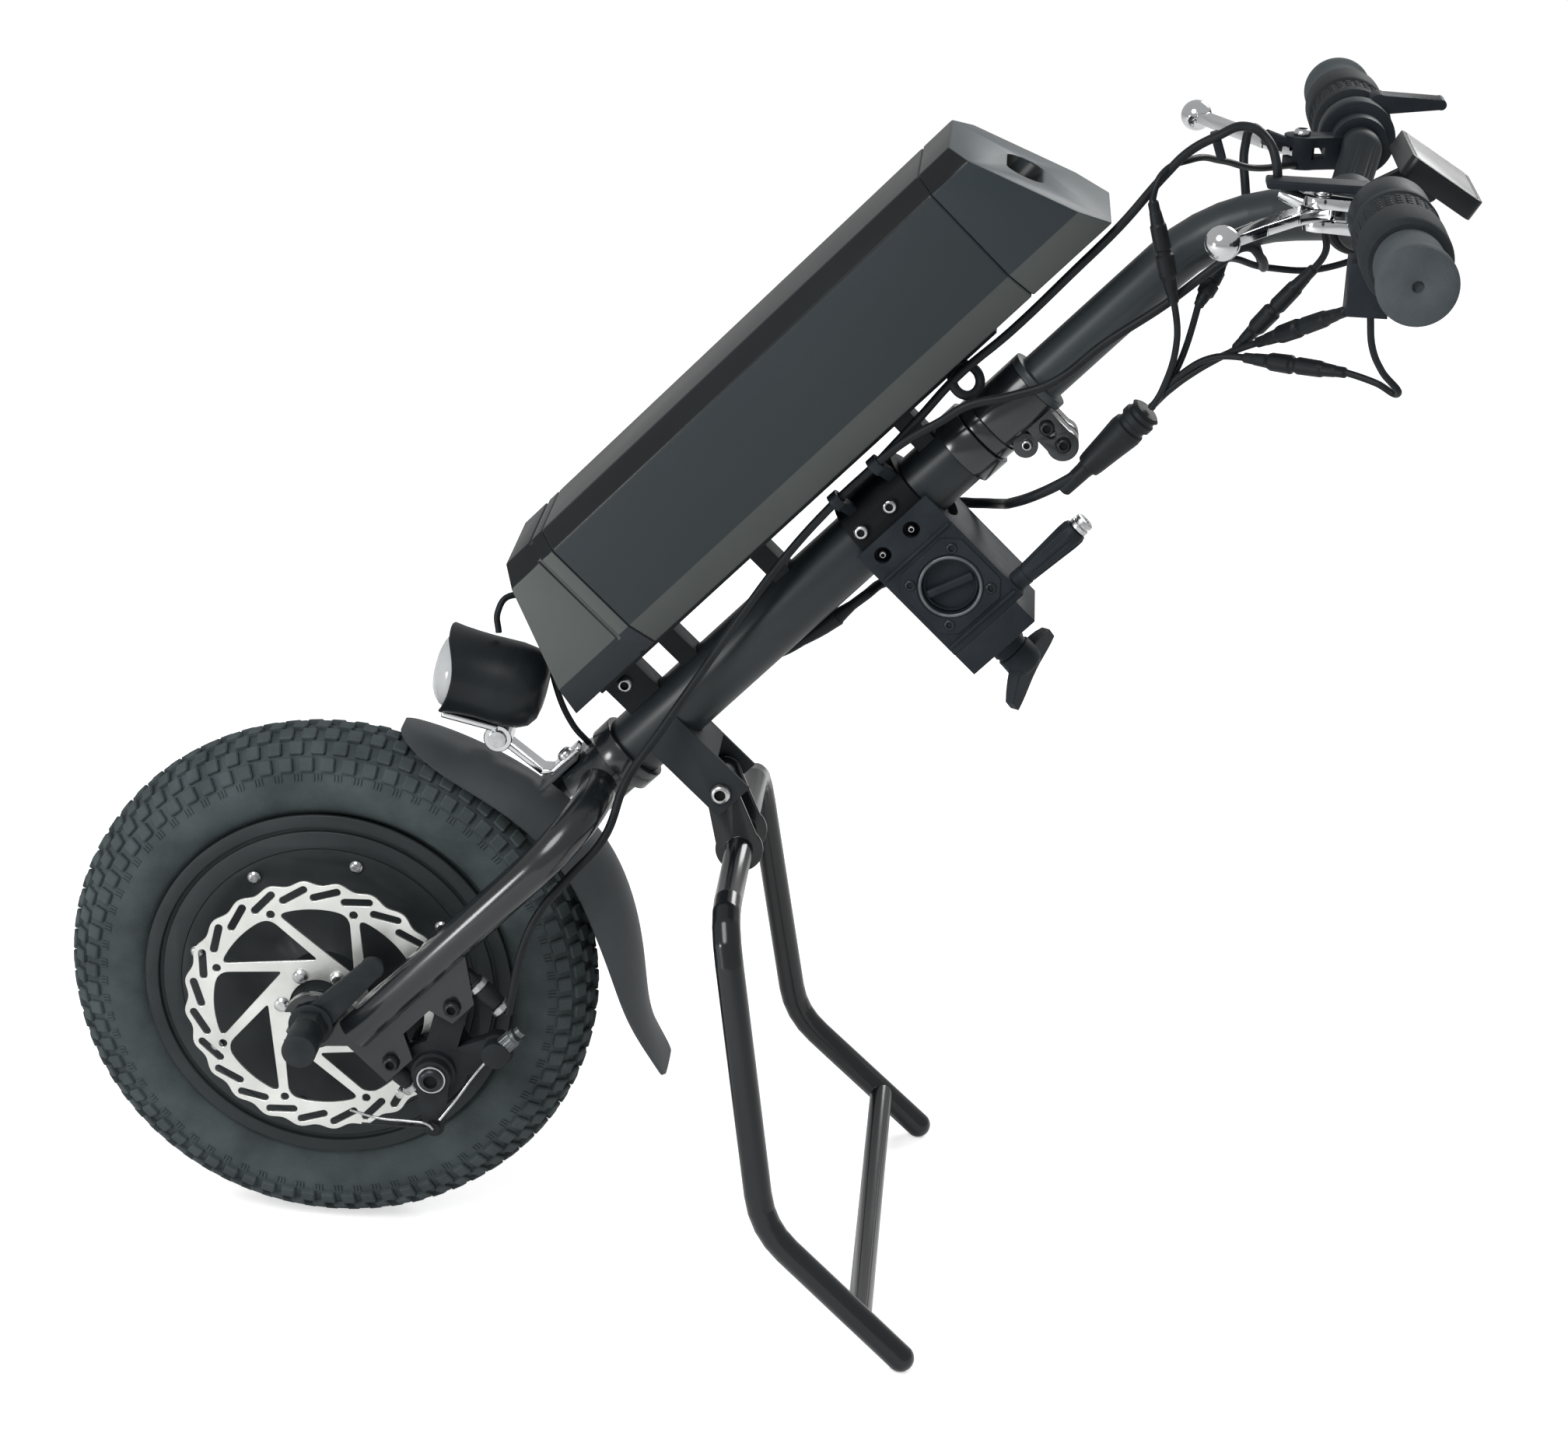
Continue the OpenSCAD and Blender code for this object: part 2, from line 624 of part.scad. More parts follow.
module caliper_body() {
  color("#2a2c2e") by_axle() difference() {
    union() {
      translate([cal_x, 0, cal_s]) cross_rod(cal_d, -adapter_y, -cal_in_y);
      translate([cal_x, 0, cal_s]) cross_rod(cal_nose_d, -cal_out_y, -adapter_y + over);
      slab(-adapter_y, -adapter_y + adapter_t) {
        link2d([caliper_bolt_x, caliper_bolt_s[0]], [cal_x, cal_s], adapter_w, adapter_w);
        link2d([caliper_bolt_x, caliper_bolt_s[1]], [cal_x, cal_s], adapter_w, adapter_w);
        link2d([cal_x, cal_s], [stop_x, stop_s], adapter_w, adapter_w);
      }
      translate([stop_x, 0, stop_s]) cross_rod(stop_d, -stop_y - stop_t / 2, -adapter_y + adapter_t);
      translate([stop_x, -stop_y, stop_s]) cylinder(d = barrel_d, h = barrel_l);
    }
    translate([axle_x, 0, 0])
      cross_rod(rotor_d + 2 * rotor_edge_gap, -rotor_y - rotor_slot_gap, -rotor_y + rotor_slot_gap);
    translate([pad_x, 0, pad_s]) cross_rod(pad_d + 2 * seat_gap, -rotor_y - pad_room, -rotor_y + pad_room);
    for (s = caliper_bolt_s) translate([caliper_bolt_x, 0, s])
      cross_rod(caliper_bolt_d, -adapter_y - over, -adapter_y + adapter_t + over);
    translate([cal_x, 0, cal_s]) cross_rod(cal_bolt_d, -cal_out_y - over, -cal_out_y + cal_bolt_in);
    translate([stop_x, -stop_y, stop_s - stop_d]) cylinder(d = wire_d + 2 * move_gap,
      h = stop_d + barrel_l + over);
  }
}
cal_bolt_in = 12;
pad_room = rotor_t / 2 + pad_gap + pad_t + seat_gap;
module brake_pads() {
  color("#5a4a40") by_axle() translate([pad_x, 0, pad_s]) for (s = [0, 1])
    translate([0, -rotor_y, 0]) mirror([0, s, 0]) cross_rod(pad_d, rotor_t / 2 + pad_gap,
      rotor_t / 2 + pad_gap + pad_t);
}
module caliper_arm() {
  color("#34373a") by_axle() {
    difference() {
      slab(-arm_y - lever_arm_t, -arm_y) link2d([cal_x, cal_s], arm_end, arm_boss_d, arm_end_d);
      translate([cal_x, 0, cal_s]) cross_rod(cal_bolt_d + 2 * run_gap, -arm_y - lever_arm_t - over,
        -arm_y + over);
    }
    translate([arm_end[0], 0, arm_end[1]]) cross_rod(arm_end_d * anchor_share,
      -arm_y - lever_arm_t - anchor_h, -arm_y);
    translate([arm_end[0], -arm_y - lever_arm_t - anchor_h / 2, arm_end[1]]) rotate([0, -90 - tail_turn, 0])
      cylinder(d = wire_d, h = wire_tail);
  }
}
anchor_share = 0.62;
anchor_h = 4;
tail_turn = 44;

// Mudguard
guard_clear = 10.25;
guard_r = tyre_r + guard_clear;
guard_cx = 17;
guard_cz = -3;
guard_from = 78;
guard_to = 8;
guard_arch_r = 56;
guard_steps = 10;
flap_r = 220;
flap_turn = 22;
tab_t = 2.5;
tab_w = 16;
tab_top_s = 210;
tab_low_s = guard_r - leg_room + guard_cx * cos(head_angle) + guard_cz * sin(head_angle) - guard_t;
flap_lap = 2;
flap_lip = 0.4;
flap_flare = 5;
// Arched section between two radii; up is 1 for a crown away from the axis, -1 for one towards it
module guard_section(r, up, w, t) {
  half = asin(w / 2 / guard_arch_r);
  outer = [for (i = [0 : guard_steps]) let (a = half * (2 * i / guard_steps - 1))
    [r + up * guard_arch_r * (cos(a) - 1), guard_arch_r * sin(a)]];
  inner = [for (i = [guard_steps : -1 : 0]) let (a = half * (2 * i / guard_steps - 1))
    [r + up * (guard_arch_r * (cos(a) - 1) - t), guard_arch_r * sin(a)]];
  polygon(concat(outer, inner));
}
module mudguard() {
  color("#2c2e30") {
    on_axle() translate([guard_cx, -guard_cz, 0]) {
      rotate(-guard_from) rotate_extrude(angle = guard_from - guard_to, $fn = 96)
        guard_section(guard_r, 1, guard_w, guard_t);
      rotate(-guard_to) translate([guard_r + flap_r, 0, 0]) rotate(180 - flap_turn)
        rotate_extrude(angle = flap_turn + flap_lap, $fn = 96)
          guard_section(flap_r - flap_lip, -1, guard_w + flap_flare, guard_t + 2 * flap_lip);
    }
    on_stem() difference() {
      translate([-crown_d / 2 - seat_gap - tab_t, -tab_w / 2, tab_low_s])
        cube([tab_t, tab_w, tab_top_s - tab_low_s]);
      translate([-crown_d / 2 - seat_gap - tab_t - over, 0, guard_bolt_s]) rotate([0, 90, 0])
        cylinder(d = guard_bolt_d, h = tab_t + 2 * over);
    }
  }
}

// Headlight and its bracket, in the stem frame
lamp_s = 182;
lamp_fwd = 59.2;
strip_t = 2.5;
strip_w = 16;
strip_low_s = 190;
strip_knee = [27, 185];
lug_d = 10;
lug_w = 8;
lug_t = 4;
lug_pin_d = 5;
lamp_up = 33;
lamp_wall = 2.5;
lamp_rear_share = 0.48;
lamp_cut = 9;
lens_gap = 0.3;
lens_in = 12;
lens_bulge = 9;
lens_t = 3;
lens_steps = 8;
module on_lamp_pivot() on_stem() translate([-lamp_fwd, 0, lamp_s]) rotate([0, head_angle - 90, 0])
  children();
module on_lamp() on_lamp_pivot() translate([0, 0, lamp_up]) rotate([0, lamp_tilt - 90, 0]) children();
module light_bracket() {
  x0 = -crown_d / 2 - 2 * seat_gap - tab_t;
  outer = [[x0, tab_top_s], [x0, strip_low_s], [-strip_knee[0] + strip_t / 2, strip_knee[1]],
    [-lamp_fwd, lamp_s - strip_t / 2]];
  inner = [[-lamp_fwd, lamp_s + strip_t / 2], [-strip_knee[0] - strip_t / 2, strip_knee[1] + strip_t],
    [x0 - strip_t, strip_low_s], [x0 - strip_t, tab_top_s]];
  color("#d2d4d6") on_stem() difference() {
    union() {
      slab(-lug_w / 2, lug_w / 2) polygon(concat(outer, inner));
      translate([-lamp_fwd, 0, lamp_s]) cross_pin(lug_d, lug_w);
      translate([x0 - strip_t, -strip_w / 2, strip_low_s])
        cube([strip_t, strip_w, tab_top_s - strip_low_s]);
    }
    translate([-lamp_fwd, 0, lamp_s]) cross_pin(lug_pin_d + 2 * run_gap, lug_w + 2 * over);
    translate([x0 - strip_t - over, 0, guard_bolt_s]) rotate([0, 90, 0])
      cylinder(d = guard_bolt_d, h = strip_t + 2 * over);
  }
}
module headlight_body() {
  rear = lamp_l * lamp_rear_share;
  front = lamp_l - rear;
  r = lamp_d / 2;
  dome = [for (i = [0 : lens_steps]) let (a = 90 * i / lens_steps) [r * sin(a), -rear * cos(a)]];
  bowl = [[r, front], [r - lamp_wall, front], [r - lamp_wall, front - lens_in - lamp_wall],
    [r * bowl_share, -rear * bowl_share], [0, -rear * bowl_share]];
  color("#1f2123") {
    on_lamp() difference() {
      rotate_extrude() polygon(concat(dome, bowl));
      translate([lamp_d / 2 - lamp_cut, 0, front - lamp_cut]) rotate([0, -hood_turn, 0])
        translate([-lamp_d, -lamp_d, 0]) cube(2 * lamp_d);
    }
    on_lamp_pivot() {
      both_sides() slab(lug_w / 2 + move_gap, lug_w / 2 + move_gap + lug_t)
        link2d([0, 0], [0, lamp_up - lamp_d / 2 - over + lug_d / 2], lug_d, lug_d);
      cross_pin(lug_pin_d, lug_w + 2 * (move_gap + lug_t + over));
    }
  }
}
bowl_share = 0.55;
hood_turn = 14;
module headlight_lens() {
  front = lamp_l * (1 - lamp_rear_share);
  r = lamp_d / 2 - lamp_wall - lens_gap;
  z0 = front - lens_in;
  outer = [for (i = [0 : lens_steps]) let (a = 90 * i / lens_steps) [r * cos(a),
    z0 + lens_t + lens_bulge * sin(a)]];
  color("#e4e8ea") on_lamp() rotate_extrude() polygon(concat([[0, z0], [r, z0]], outer));
}

// Bolts of the steered parts
module fork_bolts() {
  color("#c0c2c4") by_axle() {
    for (s = caliper_bolt_s) translate([caliper_bolt_x, -leg_y - dropout_t / 2 - seat_gap, s])
      rotate([90, 0, 0]) button_screw(caliper_bolt_d, dropout_t + adapter_t, bolt_head_d, bolt_head_h);
    translate([cal_x, -arm_y - lever_arm_t - arm_gap, cal_s]) rotate([90, 0, 0])
      button_screw(cal_bolt_d, lever_arm_t + arm_gap * 2 + cal_bolt_in - over, cal_bolt_head_d,
        cal_bolt_head_h);
  }
  color("#c0c2c4") on_stem() {
    translate([-crown_d / 2 - 3 * seat_gap - tab_t - strip_t, 0, guard_bolt_s]) rotate([0, -90, 0])
      button_screw(guard_bolt_d, tab_t + strip_t + guard_bolt_l, bolt_head_d, bolt_head_h);
    for (p = ear_bolts) translate([p[0], -ear_y - seat_gap, p[1]]) rotate([90, 0, 0])
      button_screw(ear_bolt_d, 2 * ear_y, bolt_head_d, bolt_head_h);
  }
  color("#c0c2c4") at_grips() for (s = [-1, 1]) translate([perch_x, s * perch_y,
    lever_z + perch_h / 2 + seat_gap])
    button_screw(lever_pin_d + 2 * seat_gap, perch_h, bolt_head_d, bolt_head_h);
}
bolt_head_d = 11;
bolt_head_h = 4;

// Headset nut, stem clamp and riser
nut_d = 40;
headset_nut_h = 8;
stem_s0 = tube_s1 + upper_cup_h + move_gap + headset_nut_h + seat_gap;
stem_l = 32;
stem_s1 = stem_s0 + stem_l;
stem_d = 38;
ear_drop = 1;
ear_x = 34;
ear_w = 18;
ear_s = stem_s1 - ear_w / 2 - ear_drop;
ear_y = 13;
ear_slit = 3;
ear_bolts = [[24.5, ear_s], [ear_x, ear_s]];
ear_bolt_d = 6;
clamp_boss_d = 14;
clamp_boss_x = 20;
riser_end = 30;
clamp_d = 34;
clamp_w = 50;
module headset_nut() {
  color("#2a2c2e") on_stem() translate([0, 0, stem_s0 - seat_gap - headset_nut_h])
    ring(nut_d, steerer_d + 2 * seat_gap, headset_nut_h);
}
module stem_clamp() {
  color("#26282a") on_stem() difference() {
    union() {
      translate([0, 0, stem_s0]) cylinder(d = stem_d, h = stem_l);
      slab(-ear_y, ear_y) link2d([0, ear_s], [ear_x, ear_s], ear_w, ear_w);
      translate([clamp_boss_x, 0, stem_s0 + clamp_boss_d / 2]) cross_pin(clamp_boss_d, 2 * ear_y);
    }
    translate([0, 0, stem_s0 - over]) cylinder(d = steerer_d + 2 * seat_gap, h = stem_l + 2 * over);
    translate([0, -ear_slit / 2, stem_s0 - over]) cube([ear_x + ear_w, ear_slit, stem_l + 2 * over]);
    for (p = ear_bolts) translate([p[0], 0, p[1]]) cross_pin(ear_bolt_d, 2 * ear_y + 2 * over);
  }
}
bar_lx = riser_bend_r * (1 - cos(riser_bend)) + riser_end * sin(riser_bend);
bar_ls = riser_s1 + riser_bend_r * sin(riser_bend) + riser_end * cos(riser_bend);
bar_x = foot_x + bar_ls * cos(head_angle) + bar_lx * sin(head_angle);
bar_z = foot_z + bar_ls * sin(head_angle) - bar_lx * cos(head_angle);
// The bend is a row of short straight lengths with a ball at each corner
riser_steps = 6;
module riser() {
  turns = [for (i = [0 : riser_steps]) let (a = riser_bend * i / riser_steps)
    [riser_bend_r * (1 - cos(a)), 0, riser_s1 + riser_bend_r * sin(a)]];
  color("#1d1f21") on_stem() difference() {
    union() {
      pipe(concat([[0, 0, stem_s1 + seat_gap]], turns, [[bar_lx, 0, bar_ls]]), riser_d);
      translate([0, 0, stem_s1 + seat_gap]) cylinder(d = stem_d, h = riser_foot_h);
      translate([bar_lx, 0, bar_ls]) cross_pin(clamp_d, clamp_w);
    }
    translate([bar_lx, 0, bar_ls]) cross_pin(bar_d + 2 * seat_gap, clamp_w + 2 * over);
  }
}
riser_foot_h = 5;

// Handlebar and its controls; the grips' axis lies behind and above the clamp
bar_sweep = 9;
bar_flat_y = 38;
bar_knee_y = 70;
bar_in = 4;
module at_bar() at_ground() translate([bar_x, 0, bar_z]) children();
module at_grips() at_bar() translate([bar_sweep, 0, bar_rise]) children();
module handlebar() {
  y = bar_half - bar_in;
  color("#222426") at_bar() pipe([
    [bar_sweep, -y, bar_rise], [bar_sweep, -bar_knee_y, bar_rise], [0, -bar_flat_y, 0],
    [0, bar_flat_y, 0], [bar_sweep, bar_knee_y, bar_rise], [bar_sweep, y, bar_rise]
  ], bar_d);
}
drum_y0 = control_y;
drum_l = 31.6;
drum_y1 = drum_y0 + drum_l;
grip_y0 = drum_y1 + move_gap;
grip_l = bar_half - grip_y0;
grip_groove = 1.2;
grip_grooves = 9;
grip_flange = 2;
grip_flange_w = 5;
grip_hole_d = 13;
grip_land_share = 0.6;
module grip() {
  r = grip_d / 2;
  pitch = (grip_l - 2 * grip_flange_w) / grip_grooves;
  ribs = [for (i = [0 : grip_grooves - 1]) let (y = grip_y0 + grip_flange_w + pitch * i)
    each [[r - grip_groove, y], [r - grip_groove, y + pitch * (1 - grip_land_share)],
      [r, y + pitch * (1 - grip_land_share)], [r, y + pitch]]];
  rotate([-90, 0, 0]) rotate_extrude() polygon(concat(
    [[bar_d / 2 + seat_gap, grip_y0], [r + grip_flange, grip_y0],
      [r + grip_flange, grip_y0 + grip_flange_w]], ribs,
    [[r, bar_half - grip_groove], [r - grip_groove, bar_half], [grip_hole_d / 2, bar_half],
      [grip_hole_d / 2, bar_half - bar_in + seat_gap], [bar_d / 2 + seat_gap, bar_half - bar_in + seat_gap]]
  ));
}
module grips() {
  color("#3a3c3e") at_grips() both_sides() grip();
}
perch_x = -33;
perch_clamp_d = 32;
perch_clamp_w = 14;
perch_gap = 5;
perch_clamp_y = drum_y0 - perch_gap - perch_clamp_w / 2;
perch_in = 10;
perch_y = perch_clamp_y - perch_in;
perch_h = 18;
perch_w = 20;
lever_z = -4;
lever_t = 6;
lever_slot_x = -20;
lever_pin_d = 6;
barrel_in = 7;
perch_barrel = [-54, perch_y - barrel_in, 4];
perch_barrel_d = 9;
module lever_perch() {
  difference() {
    union() {
      translate([0, perch_clamp_y - perch_clamp_w / 2, 0]) rotate([-90, 0, 0])
        cylinder(d = perch_clamp_d, h = perch_clamp_w);
      translate([0, 0, lever_z - perch_h / 2]) linear_extrude(perch_h)
        link2d([0, perch_clamp_y], [perch_x, perch_y], perch_clamp_w, perch_w);
      rod([perch_x, perch_y, lever_z], perch_barrel, perch_barrel_d);
    }
    translate([0, perch_clamp_y, 0]) cross_pin(bar_d + 2 * seat_gap, perch_clamp_w + 2 * perch_w);
    translate([perch_x - perch_w / 2 - over, perch_y - perch_w * slot_share,
      lever_z - lever_t / 2 - move_gap])
      cube([lever_slot_x - perch_x + perch_w / 2 + over, perch_w * 2, lever_t + 2 * move_gap]);
    translate([perch_x, perch_y, lever_z - perch_h / 2 - over])
      cylinder(d = lever_pin_d + 2 * seat_gap, h = perch_h + 2 * over);
  }
}
slot_share = 0.42;
module lever_perches() {
  color("#c8cacc") at_grips() both_sides() lever_perch();
}
lever_path = [for (p = [[0, 0], [-17, 20], [-35, 50], [-55, 86]]) [perch_x, perch_y] + p];
lever_widths = [15, 12, 10, 9];
lever_ball_d = 18;
module brake_lever() {
  n = len(lever_path) - 1;
  difference() {
    union() {
      translate([0, 0, lever_z - lever_t / 2]) linear_extrude(lever_t)
        for (i = [0 : n - 1]) link2d(lever_path[i], lever_path[i + 1], lever_widths[i],
          lever_widths[i + 1]);
      translate([lever_path[n][0], lever_path[n][1], lever_z]) sphere(d = lever_ball_d);
    }
    translate([lever_path[0][0], lever_path[0][1], lever_z - lever_t])
      cylinder(d = lever_pin_d + 2 * run_gap, h = 2 * lever_t);
  }
}
module left_brake_lever() {
  color("#ccced0") at_grips() mirror([0, 1, 0]) brake_lever();
}
module right_brake_lever() {
  color("#ccced0") at_grips() brake_lever();
}
switch_box = [21, 22, 28];
switch_in = 1.6;
switch_box_at = [-20, -drum_y1 + switch_in, -46];
button_d = 9;
button_h = 6;
button_out = 2.5;
button_travel = 1.5;
module switch_housing() {
  color("#232527") at_grips() difference() {
    union() {
      cross_rod(drum_d, -drum_y1, -drum_y0);
      translate(switch_box_at) cube(switch_box);
    }
    cross_rod(bar_d + 2 * seat_gap, -drum_y1 - over, -drum_y0 + over);
    translate(button_at - [button_room, 0, 0]) rotate([0, 90, 0])
      cylinder(d = button_d + 2 * move_gap, h = button_room + over);
  }
}
button_room = button_h - button_out + button_travel + move_gap;
button_share = 0.4;
button_at = switch_box_at + [switch_box[0], switch_box[1] / 2, switch_box[2] * button_share];
module switch_button() {
  color("#b03a2e") at_grips() translate(button_at + [button_out - button_h, 0, 0]) rotate([0, 90, 0])
    cylinder(d = button_d, h = button_h);
}
throttle_l = 16;
throttle_y = drum_y0 + throttle_l;
paddle_d = 38;
paddle_from = [12, 17];
paddle_to = [47, 19];
paddle_t = 6;
module throttle_housing() {
  color("#232527") at_grips() difference() {
    cross_rod(drum_d, drum_y0, throttle_y);
    cross_rod(bar_d + 2 * seat_gap, drum_y0 - over, throttle_y + over);
  }
}
module throttle_lever() {
  color("#2f3133") at_grips() difference() {
    union() {
      cross_rod(paddle_d, throttle_y + move_gap, drum_y1);
      slab(throttle_y + move_gap, drum_y1) link2d(paddle_from, paddle_to, 2 * paddle_t, paddle_t);
    }
    cross_rod(bar_d + 2 * move_gap, throttle_y - over, drum_y1 + over);
  }
}
show_size = [46, 72, 12];
show_at = [42, 24];
show_turn = 31;
show_corner = 5;
show_ring_d = 30;
show_ring_y = [26, 33];
show_arm_d = 10;
glass_in = 3;
glass_t = 1.6;
module rounded2d(size, r) {
  square([size[0] - 2 * r, size[1]], center = true);
  square([size[0], size[1] - 2 * r], center = true);
  for (i = [-1, 1], j = [-1, 1]) translate([i * (size[0] / 2 - r), j * (size[1] / 2 - r)]) circle(r = r);
}
module on_show() at_bar() translate([show_at[0], 0, show_at[1]]) rotate([0, show_turn, 0]) children();
module display_case() {
  color("#1b1c1e") {
    on_show() difference() {
      translate([0, 0, -show_size[2] / 2]) linear_extrude(show_size[2]) rounded2d(show_size, show_corner);
      translate([0, 0, show_size[2] / 2 - glass_t]) linear_extrude(glass_t + over)
        rounded2d([show_size[0] - 2 * glass_in, show_size[1] - 2 * glass_in], show_corner - glass_in / 2);
    }
    at_bar() both_sides() difference() {
      slab(show_ring_y[0], show_ring_y[1]) {
        circle(d = show_ring_d);
        link2d([0, 0], [show_at[0], show_at[1]] * show_arm_share, show_arm_d, show_arm_d);
      }
      cross_rod(bar_d + 2 * seat_gap, show_ring_y[0] - over, show_ring_y[1] + over);
    }
  }
}
show_arm_share = 0.85;
module display_glass() {
  color("#0c0d10") on_show() translate([0, 0, show_size[2] / 2 - glass_t + seat_gap])
    linear_extrude(glass_t)
    rounded2d([show_size[0] - 2 * glass_in - 2 * seat_gap, show_size[1] - 2 * glass_in - 2 * seat_gap],
      show_corner - glass_in / 2 - seat_gap);
}

// Head tube, bracket and headset
cup_in = 10;
bearing_h = 7;
module main_tube() {
  color("#1b1d1f") on_stem() translate([0, 0, tube_s0]) ring(tube_d, tube_bore_d, tube_s1 - tube_s0);
}
module headset_cups() {
  color("#2e3134") on_stem() {
    translate([0, 0, tube_s0]) mirror([0, 0, 1]) headset_cup(lower_cup_h);
    translate([0, 0, tube_s1]) headset_cup(upper_cup_h);
  }
}
module headset_cup(h) {
  difference() {
    union() {
      translate([0, 0, seat_gap]) cylinder(d = cup_d, h = h - seat_gap);
      translate([0, 0, -cup_in]) cylinder(d = tube_bore_d - 2 * seat_gap, h = cup_in + over);
    }
    translate([0, 0, -cup_in - over]) cylinder(d = steerer_d + 2 * move_gap, h = h + cup_in + 2 * over);
    translate([0, 0, h - bearing_h - over]) cylinder(d = cup_d - 2 * cup_wall, h = bearing_h);
  }
}
cup_wall = 2.5;
module headset_bearings() {
  color("#a0a3a6") on_stem() {
    translate([0, 0, tube_s0]) mirror([0, 0, 1]) headset_bearing(lower_cup_h);
    translate([0, 0, tube_s1]) headset_bearing(upper_cup_h);
  }
}
module headset_bearing(h) {
  translate([0, 0, h - bearing_h - over + seat_gap])
    ring(cup_d - 2 * cup_wall - 2 * seat_gap, steerer_d + 2 * run_gap, bearing_h - 2 * seat_gap);
}
bracket_s0 = 246;
bracket_wall = 2.5;
bracket_x = 60;
bracket_cut_x = 34;
pivot_x = 50.6;
pivot_share = 0.44;
pivot_s = bracket_s0 + bracket_l * pivot_share;
module stand_bracket() {
  color("#1d1f21") on_stem() difference() {
    translate([0, -bracket_w / 2, bracket_s0]) cube([bracket_x, bracket_w, bracket_l]);
    translate([0, -bracket_w / 2 + bracket_wall, bracket_s0 + bracket_wall])
      cube([bracket_x + over, bracket_w - 2 * bracket_wall, bracket_l - 2 * bracket_wall]);
    translate([bracket_cut_x, -bracket_w / 2 + bracket_wall, bracket_s0 - over])
      cube([bracket_x, bracket_w - 2 * bracket_wall, bracket_l + 2 * over]);
    translate([0, 0, bracket_s0 - over]) cylinder(d = tube_d + 2 * seat_gap, h = bracket_l + 2 * over);
    translate([pivot_x, 0, pivot_s]) cross_pin(pivot_d + 2 * seat_gap, bracket_w + 2 * over);
  }
}

// Battery, its rail and its base; the section leans its edges in at the floor and the top
batt_edge = 12;
batt_side_low = 19;
batt_side_high = 11;
batt_gap = 0.3;
rail_t = 5;
rail_w = 36;
rail_s = [250, 560];
post_s = [[250, 274], [293, 305], [367, 379], [480, 492]];
post_w = 18;
rail_gap = 0.2;
tongue = [12, 56, 30];
tongue_at = 30;
module batt_section() {
  w = batt_w / 2;
  top = batt_drop + batt_h;
  polygon([
    [-batt_drop, -w + batt_edge], [-batt_drop - batt_side_low, -w], [-top + batt_side_high, -w],
      [-top, -w + batt_edge],
    [-top, w - batt_edge], [-top + batt_side_high, w], [-batt_drop - batt_side_low, w],
      [-batt_drop, w - batt_edge]
  ]);
}
// The battery's whole body between two places up the stem, with its slanted ends
module batt_body(s0, s1) {
  top = batt_drop + batt_h;
  intersection() {
    translate([0, 0, s0]) linear_extrude(s1 - s0) batt_section();
    slab(-batt_w, batt_w) polygon([[-batt_drop + over, base_s0], [-top - over, base_s0 + end_lean],
      [-top - over, batt_s2 - end_lean], [-batt_drop + over, batt_s2]]);
  }
}
module battery_rail() {
  x1 = -batt_drop + rail_gap;
  color("#3a3d40") on_stem() difference() {
    union() {
      translate([x1, -rail_w / 2, rail_s[0]]) cube([rail_t, rail_w, rail_s[1] - rail_s[0]]);
      for (p = post_s) translate([x1 + rail_t - over, -post_w / 2, p[0]])
        cube([-x1 - rail_t + over, post_w, p[1] - p[0]]);
    }
    translate([0, 0, rail_s[0] - over]) cylinder(d = tube_d + 2 * seat_gap, h = rail_s[1] - rail_s[0]);
    translate([-batt_drop + rail_gap - over, 0, base_screw_s]) rotate([0, 90, 0])
      cylinder(d = rail_screw_d, h = rail_t + 2 * over);
  }
}
base_screw_s = 284;
rail_screw_d = 5;
module battery_base() {
  color("#4a4d50") on_stem() {
    difference() {
      batt_body(base_s0 - over, batt_s0);
      translate([0, 0, base_groove_s]) linear_extrude(base_groove_w) difference() {
        square(2 * batt_w + 2 * batt_drop + 2 * batt_h, center = true);
        translate([-batt_drop - batt_h / 2, 0])
          square([batt_h - 2 * base_groove, batt_w - 2 * base_groove], center = true);
      }
    }
    translate([-batt_drop - tongue_at - tongue[2], -tongue[1] / 2, batt_s0 - over])
      cube([tongue[2], tongue[1], tongue[0] + over]);
  }
}
base_groove_s = 291;
base_groove_w = 2;
base_groove = 1.5;
module battery_case() {
  color("#2d3033") on_stem() difference() {
    batt_body(batt_s0 + batt_gap, batt_s1 - batt_gap);
    translate([-batt_drop - tongue_at - tongue[2] - move_gap, -tongue[1] / 2 - move_gap, batt_s0])
      cube([tongue[2] + 2 * move_gap, tongue[1] + 2 * move_gap, tongue[0] + move_gap]);
    translate([-batt_drop - batt_h + batt_side_high, -cell_room / 2, batt_s0 + cell_floor])
      cube([cell_deep, cell_room, batt_s1]);
  }
}
cell_room = 88;
cell_deep = 58;
cell_floor = 20;
cell_d = 27;
cell_pitch = 28;
cell_l = 262;
module battery_cells() {
  color("#4f7f6a") on_stem() for (i = [-1, 0, 1], j = [0, 1])
    translate([-batt_drop - batt_h + batt_side_high + cell_deep / 2 + (j - 1 / 2) * cell_pitch,
      i * cell_pitch, batt_s0 + cell_floor + over])
      cylinder(d = cell_d, h = cell_l);
}
recess_w = 46;
recess_d = 20;
recess_s = 618;
recess_at = 48;
module battery_cap() {
  color("#34373b") on_stem() difference() {
    batt_body(batt_s1, batt_s2 + over);
    translate([-batt_drop - recess_at, 0, recess_s]) linear_extrude(batt_s2) {
      square([recess_d, recess_w - recess_d], center = true);
      for (s = [-1, 1]) translate([0, s * (recess_w - recess_d) / 2]) circle(d = recess_d);
    }
  }
}

